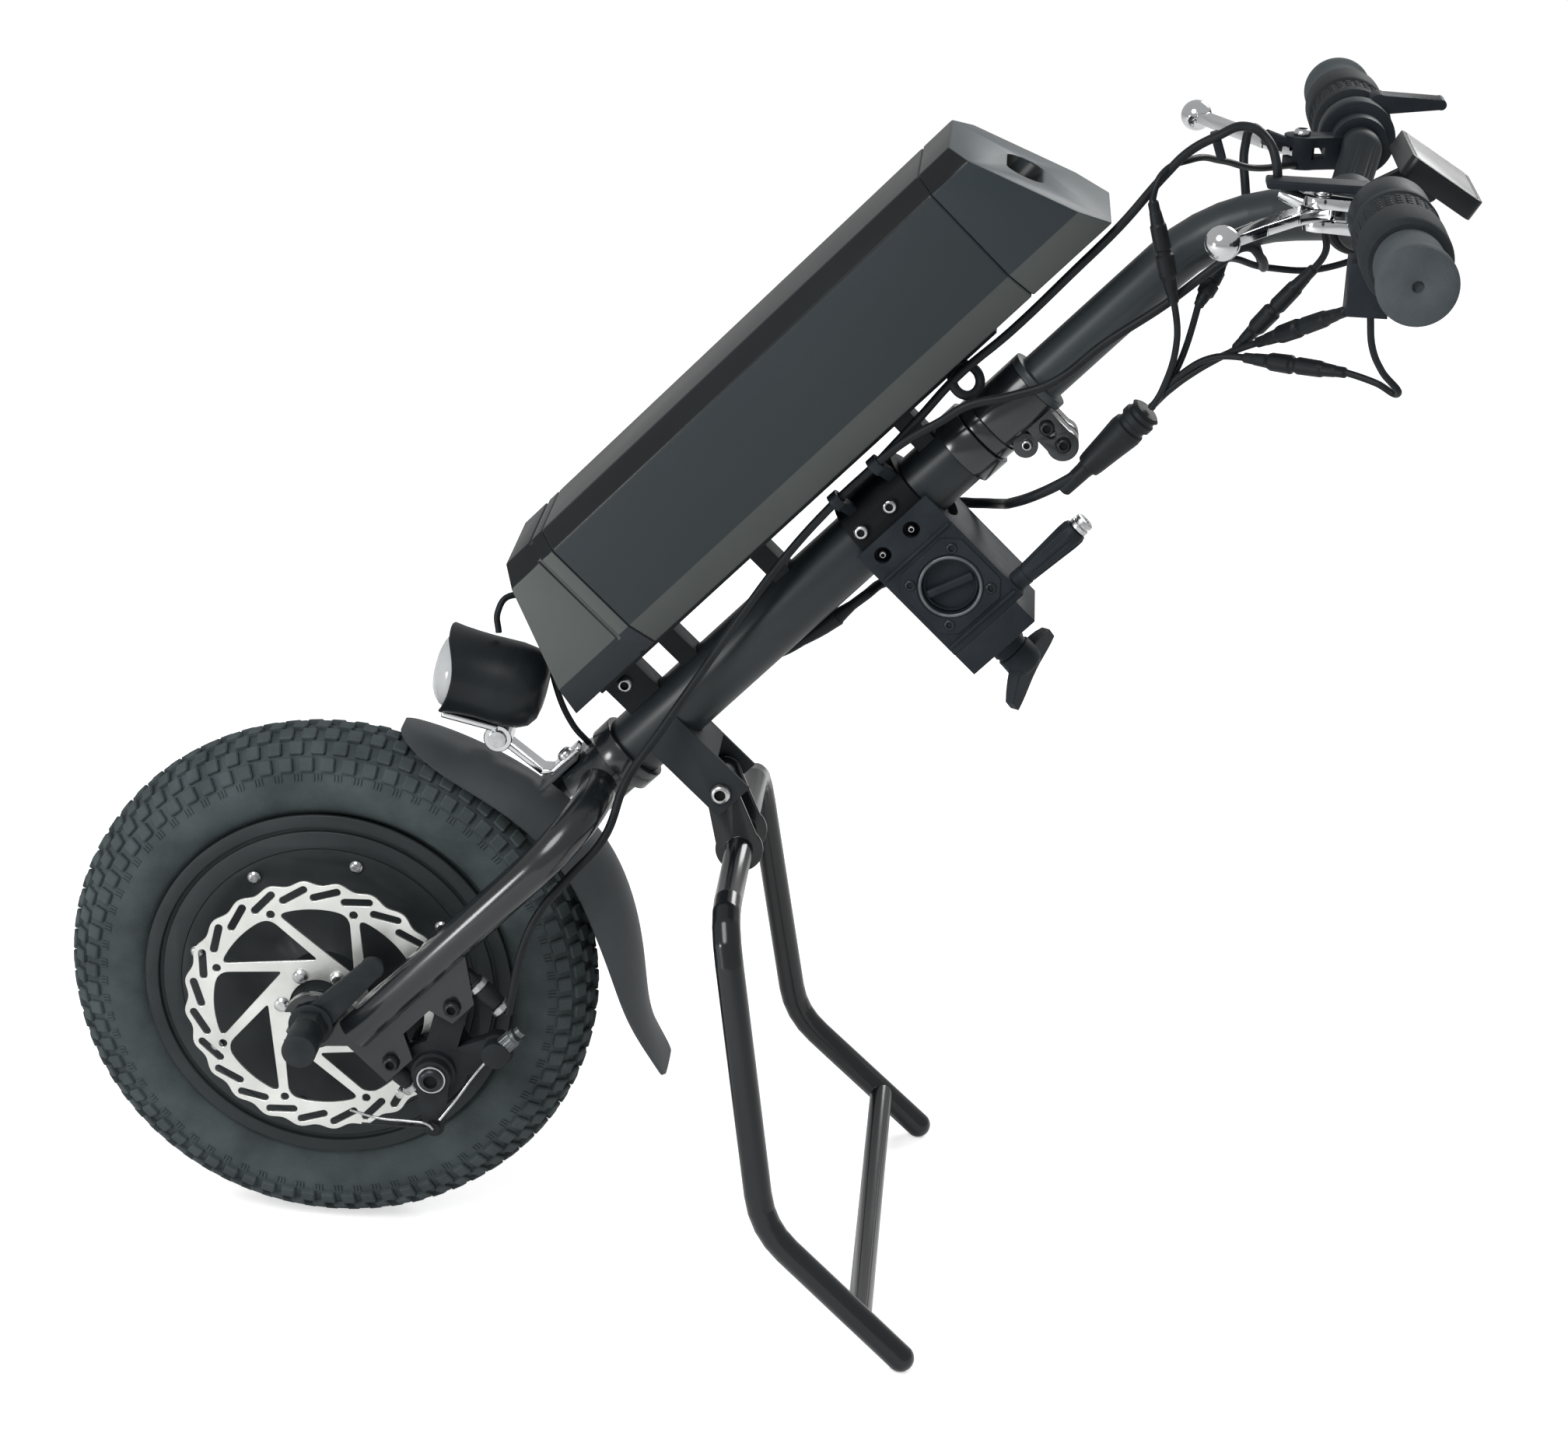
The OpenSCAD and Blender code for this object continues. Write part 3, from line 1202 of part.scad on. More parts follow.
// Chair dock under the head tube
collar_d = 50;
collar_s = [421, 465];
collar_screws = [[-8.8, 450], [-8.8, 428], [9, 450], [9, 428]];
collar_screw_d = 6;
collar_head_d = 9;
dock_s0 = dock_s - dock_l / 2;
dock_x1 = 79.5;
bush_wall = 2.5;
bush_out = 1;
bush_screws = [[-16, -16], [16, -16], [-16, 16], [16, 16]];
bush_screw_d = 4;
bush_head_d = 7;
bush_head_h = 2;
knob_s = 436;
shoe_d = 14;
shoe_h = 6;
shoe_x = dock_drop + dock_bore_d / 2 + bush_wall + move_gap;
knob_screw_d = 8;
knob_hub_d = 24;
knob_hub_h = 22;
wing_l = 48;
wing_w = 28;
wing_t = 9;
pull_x = 74;
pull_y = -16;
pull_shaft_d = 6;
pull_in = 16;
pull_boss_d = 12;
pull_boss_h = 7;
pull_d = 14;
pull_l = 36;
pull_travel = 8;
pull_flutes = 10;
flute_d = 2.4;
module tube_collar() {
  color("#26282b") on_stem() difference() {
    translate([0, 0, collar_s[0]]) ring(collar_d, tube_d + 2 * seat_gap, collar_s[1] - collar_s[0]);
    for (p = collar_screws) translate([p[0], 0, p[1]]) cross_rod(collar_screw_d, -collar_d, 0);
  }
}
module dock_block() {
  color("#2b2d30") on_stem() difference() {
    union() {
      translate([0, -dock_w / 2, dock_s0]) cube([dock_x1, dock_w, dock_l]);
      translate([pull_x, pull_y, dock_s0 + dock_l - over])
        cylinder(d = pull_boss_d, h = pull_boss_h + over);
    }
    translate([0, 0, dock_s0 - over]) cylinder(d = collar_d + 2 * seat_gap, h = dock_l + 2 * over);
    translate([dock_drop, 0, dock_s]) cross_pin(dock_bore_d + 2 * bush_wall + 2 * seat_gap,
      dock_w + 2 * over);
    for (p = bush_screws) translate([dock_drop + p[0], 0, dock_s + p[1]])
      cross_pin(bush_screw_d, dock_w + 2 * over);
    translate([shoe_x - shoe_travel - over, 0, knob_s]) rotate([0, 90, 0])
      cylinder(d = shoe_d + 2 * move_gap, h = dock_x1);
    translate([pull_x, pull_y, dock_s0 + dock_l - pull_in - pull_travel])
      cylinder(d = pull_shaft_d + 2 * run_gap, h = dock_l);
    for (p = collar_screws) translate([p[0], 0, p[1]]) cross_rod(collar_head_d + 2 * move_gap, -dock_w, 0);
  }
}
module dock_bush() {
  color("#6f7276") on_stem() difference() {
    translate([dock_drop, 0, dock_s]) cross_pin(dock_bore_d + 2 * bush_wall, dock_w + 2 * bush_out);
    translate([dock_drop, 0, dock_s]) cross_pin(dock_bore_d, dock_w + 2 * bush_out + 2 * over);
    translate([dock_drop, 0, knob_s]) rotate([0, 90, 0]) cylinder(d = shoe_d + 2 * move_gap, h = dock_drop);
  }
}
module dock_cap() {
  color("#303236") on_stem() difference() {
    translate([dock_x1 + seat_gap, -dock_w / 2, dock_s0]) cube([dock_cap_h, dock_w, dock_l - cap_short]);
    translate([dock_x1, 0, knob_s]) rotate([0, 90, 0])
      cylinder(d = knob_screw_d + 2 * run_gap, h = dock_cap_h + over);
  }
}
cap_short = 6;
knob_x = dock_x1 + seat_gap + dock_cap_h + move_gap;
module clamp_shoe() {
  color("#8a6d3b") on_stem() translate([shoe_x, 0, knob_s]) rotate([0, 90, 0])
    cylinder(d = shoe_d, h = shoe_h);
}
module wing_knob() {
  screw_x = shoe_x + shoe_h + move_gap;
  color("#2a2c2f") on_stem() {
    translate([screw_x, 0, knob_s]) rotate([0, 90, 0])
      cylinder(d = knob_screw_d, h = knob_x - screw_x + over);
    translate([knob_x, 0, knob_s]) rotate([0, 90, 0]) cylinder(d = knob_hub_d, h = knob_hub_h);
    translate([knob_x + knob_hub_h * wing_share, 0, knob_s]) slab(-wing_t / 2, wing_t / 2)
      polygon([[0, -knob_hub_d / 2], [wing_w * wing_share, -wing_l / 2], [wing_w, -wing_l / 2],
        [wing_w * wing_share, 0],
        [wing_w, wing_l / 2], [wing_w * wing_share, wing_l / 2], [0, knob_hub_d / 2]]);
  }
}
wing_share = 0.6;
module release_handle() {
  z0 = dock_s0 + dock_l + pull_boss_h + move_gap;
  color("#33363a") on_stem() translate([pull_x, pull_y, 0]) {
    translate([0, 0, dock_s0 + dock_l - pull_in]) cylinder(d = pull_shaft_d,
      h = pull_in + pull_boss_h + pull_l);
    difference() {
      translate([0, 0, z0]) cylinder(d = pull_d, h = pull_l);
      for (i = [0 : pull_flutes - 1]) rotate(i * 360 / pull_flutes)
        translate([pull_d / 2, 0, z0 + pull_d / 2])
        cylinder(d = flute_d, h = pull_l, $fn = 16);
    }
    translate([0, 0, z0 + pull_l - over]) cylinder(d = pull_shaft_d * nut_share,
      h = over + pull_shaft_d * head_share);
  }
}
nut_share = 1.6;

// Bolts of the frame
module frame_bolts() {
  color("#bfc1c3") on_stem() {
    translate([pivot_x, -bracket_w / 2 - seat_gap, pivot_s]) rotate([90, 0, 0])
      button_screw(pivot_d + 2 * seat_gap, bracket_w + 2 * seat_gap + pivot_out,
        pivot_d * pivot_head_share, bolt_head_h);
    translate([pivot_x, bracket_w / 2 + seat_gap, pivot_s]) rotate([-90, 0, 0]) difference() {
      cylinder(d = pivot_d * pivot_head_share, h = pivot_out, $fn = 6);
      translate([0, 0, -over]) cylinder(d = pivot_d + 2 * seat_gap, h = pivot_out + 2 * over);
    }
    for (p = collar_screws) translate([p[0], -collar_d / 2, p[1]]) rotate([90, 0, 0])
      button_screw(collar_screw_d, collar_d / 2 - tube_d / 2 + collar_bite, collar_head_d, bush_head_h);
    for (s = [0, 1]) mirror([0, s, 0]) for (p = bush_screws)
      translate([dock_drop + p[0], -dock_w / 2 - seat_gap, dock_s + p[1]]) rotate([90, 0, 0])
        button_screw(bush_screw_d, bush_screw_l, bush_head_d, bush_head_h);
  }
}
collar_bite = 0;
pivot_out = 8;
pivot_head_share = 1.8;
bush_screw_l = 14;

// Stand, drawn in the ground frame
stand_px = foot_x + pivot_s * cos(head_angle) + pivot_x * sin(head_angle);
stand_pz = foot_z + pivot_s * sin(head_angle) - pivot_x * cos(head_angle);
yoke_y = [13.5, 16.5];
yoke_top_d = 20;
yoke_low_d = 28;
yoke_at = [12, -36];
leg_top_y = 118;
leg_low = [271, 141, 84];
leg_top_c = 26;
leg_low_c = 20;
cross_share = 0.699;
bar_low_d = 14;
bend_steps = 4;
module stand_legs() {
  top = [stand_px + yoke_at[0], 0, stand_pz + yoke_at[1]];
  corner = top + [0, leg_top_y, 0];
  foot = [foot_behind, foot_y, stand_d / 2];
  color("#232527") at_ground() {
    both_sides() {
      pipe(concat([top], bend(top, corner, leg_low, leg_top_c, bend_steps),
        bend(corner, leg_low, foot, leg_low_c, bend_steps), [foot]), stand_d);
      translate(foot) sphere(d = stand_d + 2 * weld_bead);
      difference() {
        slab(yoke_y[0], yoke_y[1]) link2d([stand_px, stand_pz], [top[0], top[2]], yoke_top_d, yoke_low_d);
        translate([stand_px, 0, stand_pz]) cross_pin(pivot_d + 2 * run_gap, 2 * bracket_w);
      }
    }
    cross_at = leg_low + (foot - leg_low) * cross_share;
    translate([cross_at[0], 0, cross_at[2]]) cross_pin(bar_low_d, 2 * cross_at[1]);
  }
}

// Cables: routes along the stem
brake_d = 5;
lead_d = 3.8;
main_d = 6;
near_top = [
  [-5, -70, 729.4], [-13.6, -69, 736.4], [-24.8, -62, 741.1], [-36.3, -48, 735.8], [-40.4, -38, 721.1],
  [-43.8, -34, 704.2], [-43, -32, 687.2], [-38.6, -30, 650.3], [-37, -28, 614.9], [-35.8, -27, 568.1],
  [-37.2, -26, 528.5], [-34.1, -25, 495.9], [-31.1, -24, 460.4], [-30.8, -24, 427.9],
  [-27.3, -25, 387.4], [-18.4, -27, 338.3], [-9.3, -30, 294.8], [-3.2, -34, 264.9]
];
// The lower end goes with the axle and its brake
near_low = [
  [3.4, -42, 231.4], [17.2, -54, 200.5], [19, -62, 170.7], [21, -66, 148], [29.4, -68, 124.3],
  [42.8, -69, 102.6], [53.5, -69, 86.7]
];
near_route = concat(near_top, [for (p = near_low) p - [0, 0, leg_room]]);
far_route = [
  [-5, 70, 729.4], [-13.7, 67, 735], [-24.3, 50, 736.1], [-34.6, 20, 725.2], [-41.4, -10, 710.5],
  [-40.6, -27, 693.5]
];
lead_routes = [
  [[27.2, -82, 732.2], [33.9, -80, 720.6], [39.9, -64, 690.7], [46, -45, 660.8], [47.7, -36, 629.6],
    [46.1, -29, 603.5], [45.7, -23, 593.6]],
  [[60, -122, 717.6], [64, -121, 711.8], [64.1, -102, 694.1], [59.5, -66, 663.8], [57, -40, 631.4],
    [54.5, -27, 601.8], [52.8, -23, 591.9]],
  [[66.6, -120, 723.7], [74.1, -119, 717.1], [97.1, -106, 705.7], [116.8, -94, 702.2],
    [113.7, -84, 696.6], [98.5, -76, 686.5], [78.8, -60, 669.5], [67.5, -46, 649.4],
    [62.4, -33, 625.5], [58.1, -21, 602.3], [54.9, -18, 592.5]],
  [[27.2, 82, 732.2], [32.4, 78, 719.3], [18.8, 62, 692.9], [6.6, 42, 667.8], [10.9, 20, 648.6],
    [20.5, 0, 641.2], [29.3, -12, 628.8], [39.1, -20, 606.5], [42.2, -19, 593]],
  [[57.9, 14, 779.9], [66.7, 14, 767.6], [78.6, 15, 743.1], [73.4, 18, 716.4], [59.4, 16, 681.5],
    [46.7, -4, 642.4], [46.5, -14, 614.8], [49.3, -16, 594.2]]
];
wire_route = [[66, -69, 55], [67, -72, 44], [69, -79, 28], [71, -81, 13]];
// Round the far side of the dock, clear of its bore
main_route = [
  [52, -15, 543], [50, -14, 530], [46, -10, 512], [43, 6, 494], [43, 24, 485], [36, 33, 474],
  [26, 34, 462], [24, 34, 440], [28, 33, 420], [35, 29, 409], [30, 20, 400], [25, 4, 390],
  [24, -6, 374], [22.5, -7, 360]
];
light_route = [
  [-102.9, 0, 226.6], [-111.8, 2, 234.7], [-112.9, 8, 244.6], [-100.7, 10, 250.6], [-80.4, 10, 242.1],
  [-57.7, 10, 225], [-31.9, 11, 213.5], [-16.4, 13, 211.6]
];
module brake_cables() {
  color("#17181a") on_stem() {
    cord(near_route, brake_d);
    cord(far_route, brake_d);
  }
  color("#b4b6b8") by_axle() cord(wire_route, wire_d);
}
module light_wire() {
  color("#1a1b1d") on_stem() cord(light_route, lead_d);
}
module bar_leads() {
  color("#1a1b1d") on_stem() for (p = lead_routes) cord(p, lead_d);
}
module main_cable() {
  color("#1a1b1d") on_stem() cord(main_route, main_d);
}
junction = [[51.8, -15, 544.5], [48.9, -22.4, 590.7]];
junction_d = 15;
module cable_junction() {
  color("#1c1d1f") on_stem() rod(junction[0], junction[1], junction_d);
}
clip_s = [428, 458];
clip_d = 11;
clip_room = 0.8;
clip_l = 6;
clip_at = [-31, -24.5];
module cable_clips() {
  out = norm(clip_at);
  color("#1f2022") on_stem() for (s = clip_s) translate([0, 0, s]) difference() {
    union() {
      translate(clip_at) cylinder(d = clip_d, h = clip_l);
      rotate(atan2(clip_at[1], clip_at[0])) translate([collar_d / 2 + seat_gap, -clip_l / 2, 0])
        cube([out - collar_d / 2, clip_l, clip_l]);
    }
    translate([clip_at[0], clip_at[1], -over]) cylinder(d = brake_d + 2 * clip_room, h = clip_l + 2 * over);
  }
}

main_tube();
stand_bracket();
headset_cups();
headset_bearings();
battery_rail();
battery_base();
tube_collar();
dock_block();
dock_cap();
dock_bush();
frame_bolts();
cable_clips();
cable_junction();
main_cable();
battery_case();
battery_cap();
battery_cells();
steerer();
fork();
axle();
axle_nuts();
stator();
caliper_body();
brake_pads();
fork_bolts();
mudguard();
light_bracket();
headset_nut();
stem_clamp();
riser();
handlebar();
grips();
lever_perches();
switch_housing();
throttle_housing();
display_case();
display_glass();
brake_cables();
bar_leads();
light_wire();
tyre();
hub_shell();
hub_covers();
cover_screws();
magnet_ring();
wheel_bearings();
brake_rotor();
rotor_bolts();
left_brake_lever();
right_brake_lever();
caliper_arm();
headlight_body();
headlight_lens();
throttle_lever();
stand_legs();
release_handle();
wing_knob();
clamp_shoe();
switch_button();
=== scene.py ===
import json
from math import atan2, cos, pi, radians, sin

import bpy
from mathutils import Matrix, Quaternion, Vector

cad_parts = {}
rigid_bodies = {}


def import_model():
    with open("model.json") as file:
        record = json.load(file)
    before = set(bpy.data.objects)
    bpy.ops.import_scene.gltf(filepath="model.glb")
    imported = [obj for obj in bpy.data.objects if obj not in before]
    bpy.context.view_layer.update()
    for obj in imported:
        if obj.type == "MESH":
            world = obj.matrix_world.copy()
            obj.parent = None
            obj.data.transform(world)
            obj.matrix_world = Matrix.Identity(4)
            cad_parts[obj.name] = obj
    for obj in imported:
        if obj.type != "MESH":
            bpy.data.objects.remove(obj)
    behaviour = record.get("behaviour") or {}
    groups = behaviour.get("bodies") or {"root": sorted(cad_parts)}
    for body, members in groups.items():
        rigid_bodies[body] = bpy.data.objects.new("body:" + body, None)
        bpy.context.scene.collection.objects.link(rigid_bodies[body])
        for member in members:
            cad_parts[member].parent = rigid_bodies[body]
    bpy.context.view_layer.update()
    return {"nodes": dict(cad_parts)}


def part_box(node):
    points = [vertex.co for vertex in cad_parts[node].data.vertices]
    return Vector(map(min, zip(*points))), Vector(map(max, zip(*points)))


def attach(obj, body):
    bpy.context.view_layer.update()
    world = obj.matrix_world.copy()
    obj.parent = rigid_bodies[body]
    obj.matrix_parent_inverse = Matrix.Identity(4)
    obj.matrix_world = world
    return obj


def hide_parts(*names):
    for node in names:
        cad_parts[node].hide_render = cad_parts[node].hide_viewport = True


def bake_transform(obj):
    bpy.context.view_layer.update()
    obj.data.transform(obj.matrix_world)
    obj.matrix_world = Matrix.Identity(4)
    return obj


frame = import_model()

# Camera: the drive unit is seen from its left, a little from above, through a long lens.
# Places are measured from the ground under the axle, the lowest point of the tyre.
tyre_low, tyre_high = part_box("tyre")
GROUND = Vector(((tyre_low.x + tyre_high.x) / 2, 0, tyre_low.z))
VIEW_FROM = Vector((0.3624, -1.8788, 1.0623))
VIEW_TO = Vector((0.2619, 0, 0.3393))
VIEW_ROLL = radians(2.782)
LENS_MM, SENSOR_MM = 80, 36
SEEN_TO = 200
camera = bpy.data.objects.new("camera", bpy.data.cameras.new("camera"))
bpy.context.scene.collection.objects.link(camera)
camera.data.lens = LENS_MM
camera.data.sensor_width = SENSOR_MM
camera.location = GROUND + VIEW_FROM
camera.rotation_mode = "QUATERNION"
camera.rotation_quaternion = (VIEW_TO - VIEW_FROM).to_track_quat("-Z", "Y") @ Quaternion((0, 0, 1), VIEW_ROLL)
camera.data.clip_end = SEEN_TO
bpy.context.scene.camera = camera
bpy.context.scene.view_settings.view_transform = "Standard"


# Cables: two brake outers of ribbed black housing, five handlebar leads in soft PVC with moulded
# plugs half way, the lamp's lead and the motor cable. Clips and the steered parts hold them all the way.
OUTER_R = 0.0025
LEAD_R = 0.0019
MOTOR_R = 0.003
WIRE_R = 0.0008
NEAR_UPPER = [(0.5095, -0.070, 0.681), (0.508, -0.069, 0.692), (0.503, -0.062, 0.703),
              (0.491, -0.048, 0.707), (0.478, -0.038, 0.699), (0.464, -0.034, 0.689), (0.453, -0.032, 0.676),
              (0.431, -0.030, 0.646), (0.408, -0.028, 0.619), (0.377, -0.027, 0.584), (0.349, -0.026, 0.556),
              (0.329, -0.025, 0.530), (0.307, -0.024, 0.502)]
NEAR_LOWER = [(0.307, -0.024, 0.502), (0.285, -0.024, 0.478), (0.260, -0.025, 0.446), (0.233, -0.027, 0.404),
              (0.210, -0.030, 0.366), (0.194, -0.034, 0.340), (0.176, -0.042, 0.311), (0.165, -0.054, 0.279),
              (0.146, -0.062, 0.256), (0.132, -0.066, 0.238), (0.122, -0.068, 0.215), (0.117, -0.069, 0.190),
              (0.114, -0.069, 0.171)]
FAR_OUTER = [(0.5095, 0.070, 0.681), (0.5040, 0.068, 0.684), (0.5000, 0.060, 0.676), (0.5010, 0.046, 0.656),
             (0.5045, 0.028, 0.638), (0.5090, 0.010, 0.627), (0.5110, -0.008, 0.623),
             (0.5080, -0.024, 0.632), (0.4990, -0.031, 0.639), (0.4850, -0.032, 0.6285),
             (0.4584, -0.031, 0.6046), (0.4277, -0.030, 0.5807), (0.4014, -0.030, 0.5573),
             (0.3780, -0.030, 0.5478), (0.3554, -0.030, 0.5409), (0.3418, -0.030, 0.5314),
             (0.3236, -0.030, 0.5192), (0.3090, -0.0297, 0.5065)]
BARE_WIRE = [(0.1015, -0.069, 0.1393), (0.0947, -0.072, 0.1306), (0.0853, -0.079, 0.1175),
             (0.0765, -0.081, 0.1052)]
LEADS = {"right_brake_lead": [(0.535, 0.082, 0.661), (0.530, 0.070, 0.664), (0.5047, 0.040, 0.6672),
                              (0.4846, 0.010, 0.6763), (0.4666, -0.020, 0.6822), (0.4504, -0.036, 0.6759),
                              (0.4468, -0.040, 0.6631), (0.4630, -0.040, 0.6075), (0.4663, -0.036, 0.5876),
                              (0.4611, -0.028, 0.5560), (0.4560, -0.0265, 0.5450)],
         "display_lead": [(0.590, 0.014, 0.675), (0.588, 0.014, 0.660), (0.576, 0.016, 0.636),
                          (0.548, 0.022, 0.618), (0.515, 0.018, 0.617), (0.4955, 0.000, 0.6250),
                          (0.4889, -0.014, 0.6271), (0.4765, -0.028, 0.6042), (0.4698, -0.028, 0.5736),
                          (0.4605, -0.025, 0.5520), (0.4560, -0.0245, 0.5450)],
         "left_brake_lead": [(0.535, -0.082, 0.661), (0.5369, -0.079, 0.6510), (0.5327, -0.072, 0.6397),
                             (0.4972, -0.044, 0.5857), (0.4781, -0.034, 0.5697), (0.4620, -0.026, 0.5530),
                             (0.4560, -0.0225, 0.5450)],
         "switch_lead": [(0.552, -0.121, 0.632), (0.5477, -0.112, 0.6275), (0.5073, -0.058, 0.5936),
                         (0.4866, -0.038, 0.5774), (0.4653, -0.026, 0.5560), (0.4565, -0.0215, 0.5445)],
         "looped_lead": [(0.5588, -0.120, 0.628), (0.5618, -0.118, 0.6105), (0.5687, -0.112, 0.5967),
                         (0.5787, -0.106, 0.5834), (0.5683, -0.100, 0.5868), (0.5531, -0.092, 0.5893),
                         (0.5014, -0.052, 0.5837), (0.4860, -0.042, 0.5800), (0.4711, -0.032, 0.5675),
                         (0.4600, -0.023, 0.5510), (0.4570, -0.0205, 0.5440)]}
PLUG_SPANS = {"right_brake_lead": (6, 7), "display_lead": (6, 7), "left_brake_lead": (2, 3),
              "switch_lead": (1, 2), "looped_lead": (5, 6)}
PLUG_SHAPE = [(0.0, 1.0), (0.02, 1.55), (0.10, 1.6), (0.12, 1.75), (0.22, 2.0), (0.24, 2.35), (0.46, 2.5),
              (0.48, 2.1), (0.51, 2.1), (0.53, 2.75), (0.72, 2.6), (0.76, 2.0), (0.88, 1.75), (0.90, 1.6),
              (0.98, 1.5), (1.0, 1.0)]
LAMP_LEAD = [(0.095, 0, 0.380), (0.094, 0.002, 0.392), (0.100, 0.008, 0.400), (0.113, 0.010, 0.396),
             (0.122, 0.010, 0.376), (0.127, 0.010, 0.348), (0.138, 0.011, 0.322), (0.148, 0.013, 0.310)]
STEM_FOOT = Vector((0.015724, 0, 0.144087))
STEM_TILT = radians(47)
stem_up = Vector((cos(STEM_TILT), 0, sin(STEM_TILT)))
stem_behind = Vector((sin(STEM_TILT), 0, -cos(STEM_TILT)))
MOTOR_CABLE = [(0.052, -0.015, 0.543), (0.050, -0.014, 0.530), (0.046, -0.010, 0.512), (0.043, 0.006, 0.494),
               (0.043, 0.024, 0.485), (0.036, 0.033, 0.474), (0.026, 0.034, 0.462), (0.024, 0.034, 0.440),
               (0.028, 0.033, 0.420), (0.033, 0.026, 0.410), (0.0285, 0.014, 0.402), (0.0270, 0.008, 0.397),
               (0.0268, 0.0075, 0.396), (0.0255, 0.006, 0.386), (0.0245, 0.005, 0.376),
               (0.0244, 0.005, 0.375), (0.0232, 0.005, 0.364), (0.0215, 0.006, 0.350),
               (0.0180, 0.006, 0.336), (0.0140, 0.006, 0.328)]
MOTOR_PLUG = {13: 1.0, 14: 1.55, 15: 1.8, 16: 1.55}
TONE_BAND = (0.32, 0.68)
GLOSS_BAND = (0.3, 0.7)
RELIEF_DEEP = 0.001
CABLE_BENDS = 10


def from_ground(x, y, z):
    """A place behind, beside and above the tyre's lowest point"""
    return GROUND + Vector((x, y, z))


def from_stem(x, y, s):
    """A place behind, beside and up the steering axis"""
    return GROUND + STEM_FOOT + stem_up * s + stem_behind * x + Vector((0, y, 0))


def shade(red, green, blue):
    """A colour read as it shows on a screen, from 0 to 255"""
    parts = [c / 255 for c in (red, green, blue)]
    return [c / 12.92 if c <= 0.04045 else ((c + 0.055) / 1.055) ** 2.4 for c in parts] + [1]


def mottled(name, dark, light, grain, rough, bump=0.0, bump_grain=900, shine=0.5, **sockets):
    """A finish whose colour and gloss drift a little over the surface, with a fine grain in relief;
    dark and light are colours as they show on a screen"""
    material = bpy.data.materials.new(name)
    material.use_nodes = True
    nodes, links = material.node_tree.nodes, material.node_tree.links
    shader = nodes["Principled BSDF"]
    place = nodes.new("ShaderNodeTexCoord")
    drift = nodes.new("ShaderNodeTexNoise")
    drift.inputs["Scale"].default_value = grain
    drift.inputs["Detail"].default_value = 5
    links.new(place.outputs["Object"], drift.inputs["Vector"])
    tone = nodes.new("ShaderNodeValToRGB")
    for stop, at, colour in zip(tone.color_ramp.elements, TONE_BAND, (dark, light)):
        stop.position = at
        stop.color = shade(*colour)
    links.new(drift.outputs["Fac"], tone.inputs["Fac"])
    links.new(tone.outputs["Color"], shader.inputs["Base Color"])
    gloss = nodes.new("ShaderNodeMapRange")
    for socket, value in zip(("From Min", "From Max", "To Min", "To Max"), (*GLOSS_BAND, *rough)):
        gloss.inputs[socket].default_value = value
    links.new(drift.outputs["Fac"], gloss.inputs["Value"])
    links.new(gloss.outputs["Result"], shader.inputs["Roughness"])
    if bump:
        grit = nodes.new("ShaderNodeTexNoise")
        grit.inputs["Scale"].default_value = bump_grain
        grit.inputs["Detail"].default_value = 3
        links.new(place.outputs["Object"], grit.inputs["Vector"])
        relief = nodes.new("ShaderNodeBump")
        relief.inputs["Strength"].default_value = bump
        relief.inputs["Distance"].default_value = RELIEF_DEEP
        links.new(grit.outputs["Fac"], relief.inputs["Height"])
        links.new(relief.outputs["Normal"], shader.inputs["Normal"])
    shader.inputs["Specular IOR Level"].default_value = shine
    for socket, value in sockets.items():
        shader.inputs[socket.replace("_", " ")].default_value = value
    return material


def clear_selection():
    bpy.ops.object.select_all(action="DESELECT")


def placed(name, data):
    """A new piece in the scene, the only one selected and the one that is worked on"""
    piece = bpy.data.objects.new(name, data)
    bpy.context.scene.collection.objects.link(piece)
    clear_selection()
    piece.select_set(True)
    bpy.context.view_layer.objects.active = piece
    return piece


def edit_all():
    bpy.ops.object.mode_set(mode="EDIT")
    bpy.ops.mesh.select_all(action="SELECT")


def settle():
    """Takes the place, turn and scale of the piece into its mesh"""
    bpy.ops.object.transform_apply(location=True, rotation=True, scale=True)


def close_up(smooth, weld=0):
    """Welds the points of the piece, turns its faces outward and smooths it up to an angle"""
    edit_all()
    if weld:
        bpy.ops.mesh.remove_doubles(threshold=weld)
    bpy.ops.mesh.normals_make_consistent(inside=False)
    bpy.ops.object.mode_set(mode="OBJECT")
    bpy.ops.object.shade_smooth_by_angle(angle=radians(smooth))


def swept(name, route, radius, material, sides=10, swell=None):
    """A round length along a route, its thickness changed at points by the shares in swell"""
    line = bpy.data.curves.new(name, "CURVE")
    line.dimensions = "3D"
    line.bevel_depth = radius
    line.bevel_resolution = sides // 2
    line.resolution_u = CABLE_BENDS
    line.use_fill_caps = True
    spline = line.splines.new("BEZIER")
    spline.bezier_points.add(len(route) - 1)
    for point, place, share in zip(spline.bezier_points, route, swell or [1] * len(route)):
        point.co = place
        point.radius = share
        point.handle_left_type = point.handle_right_type = "AUTO"
    placed(name, line)
    bpy.ops.object.convert(target="MESH")
    piece = bpy.context.view_layer.objects.active
    close_up(40, weld=0.00001)
    piece.data.materials.clear()
    piece.data.materials.append(material)
    return piece


cable_black = mottled("cable_black", (20, 23, 26), (30, 34, 37), 60, (0.38, 0.55), 0.08, shine=0.2)
wire_steel = mottled("wire_steel", (170, 172, 174), (215, 216, 216), 400, (0.22, 0.36), 0.1, Metallic=1.0)

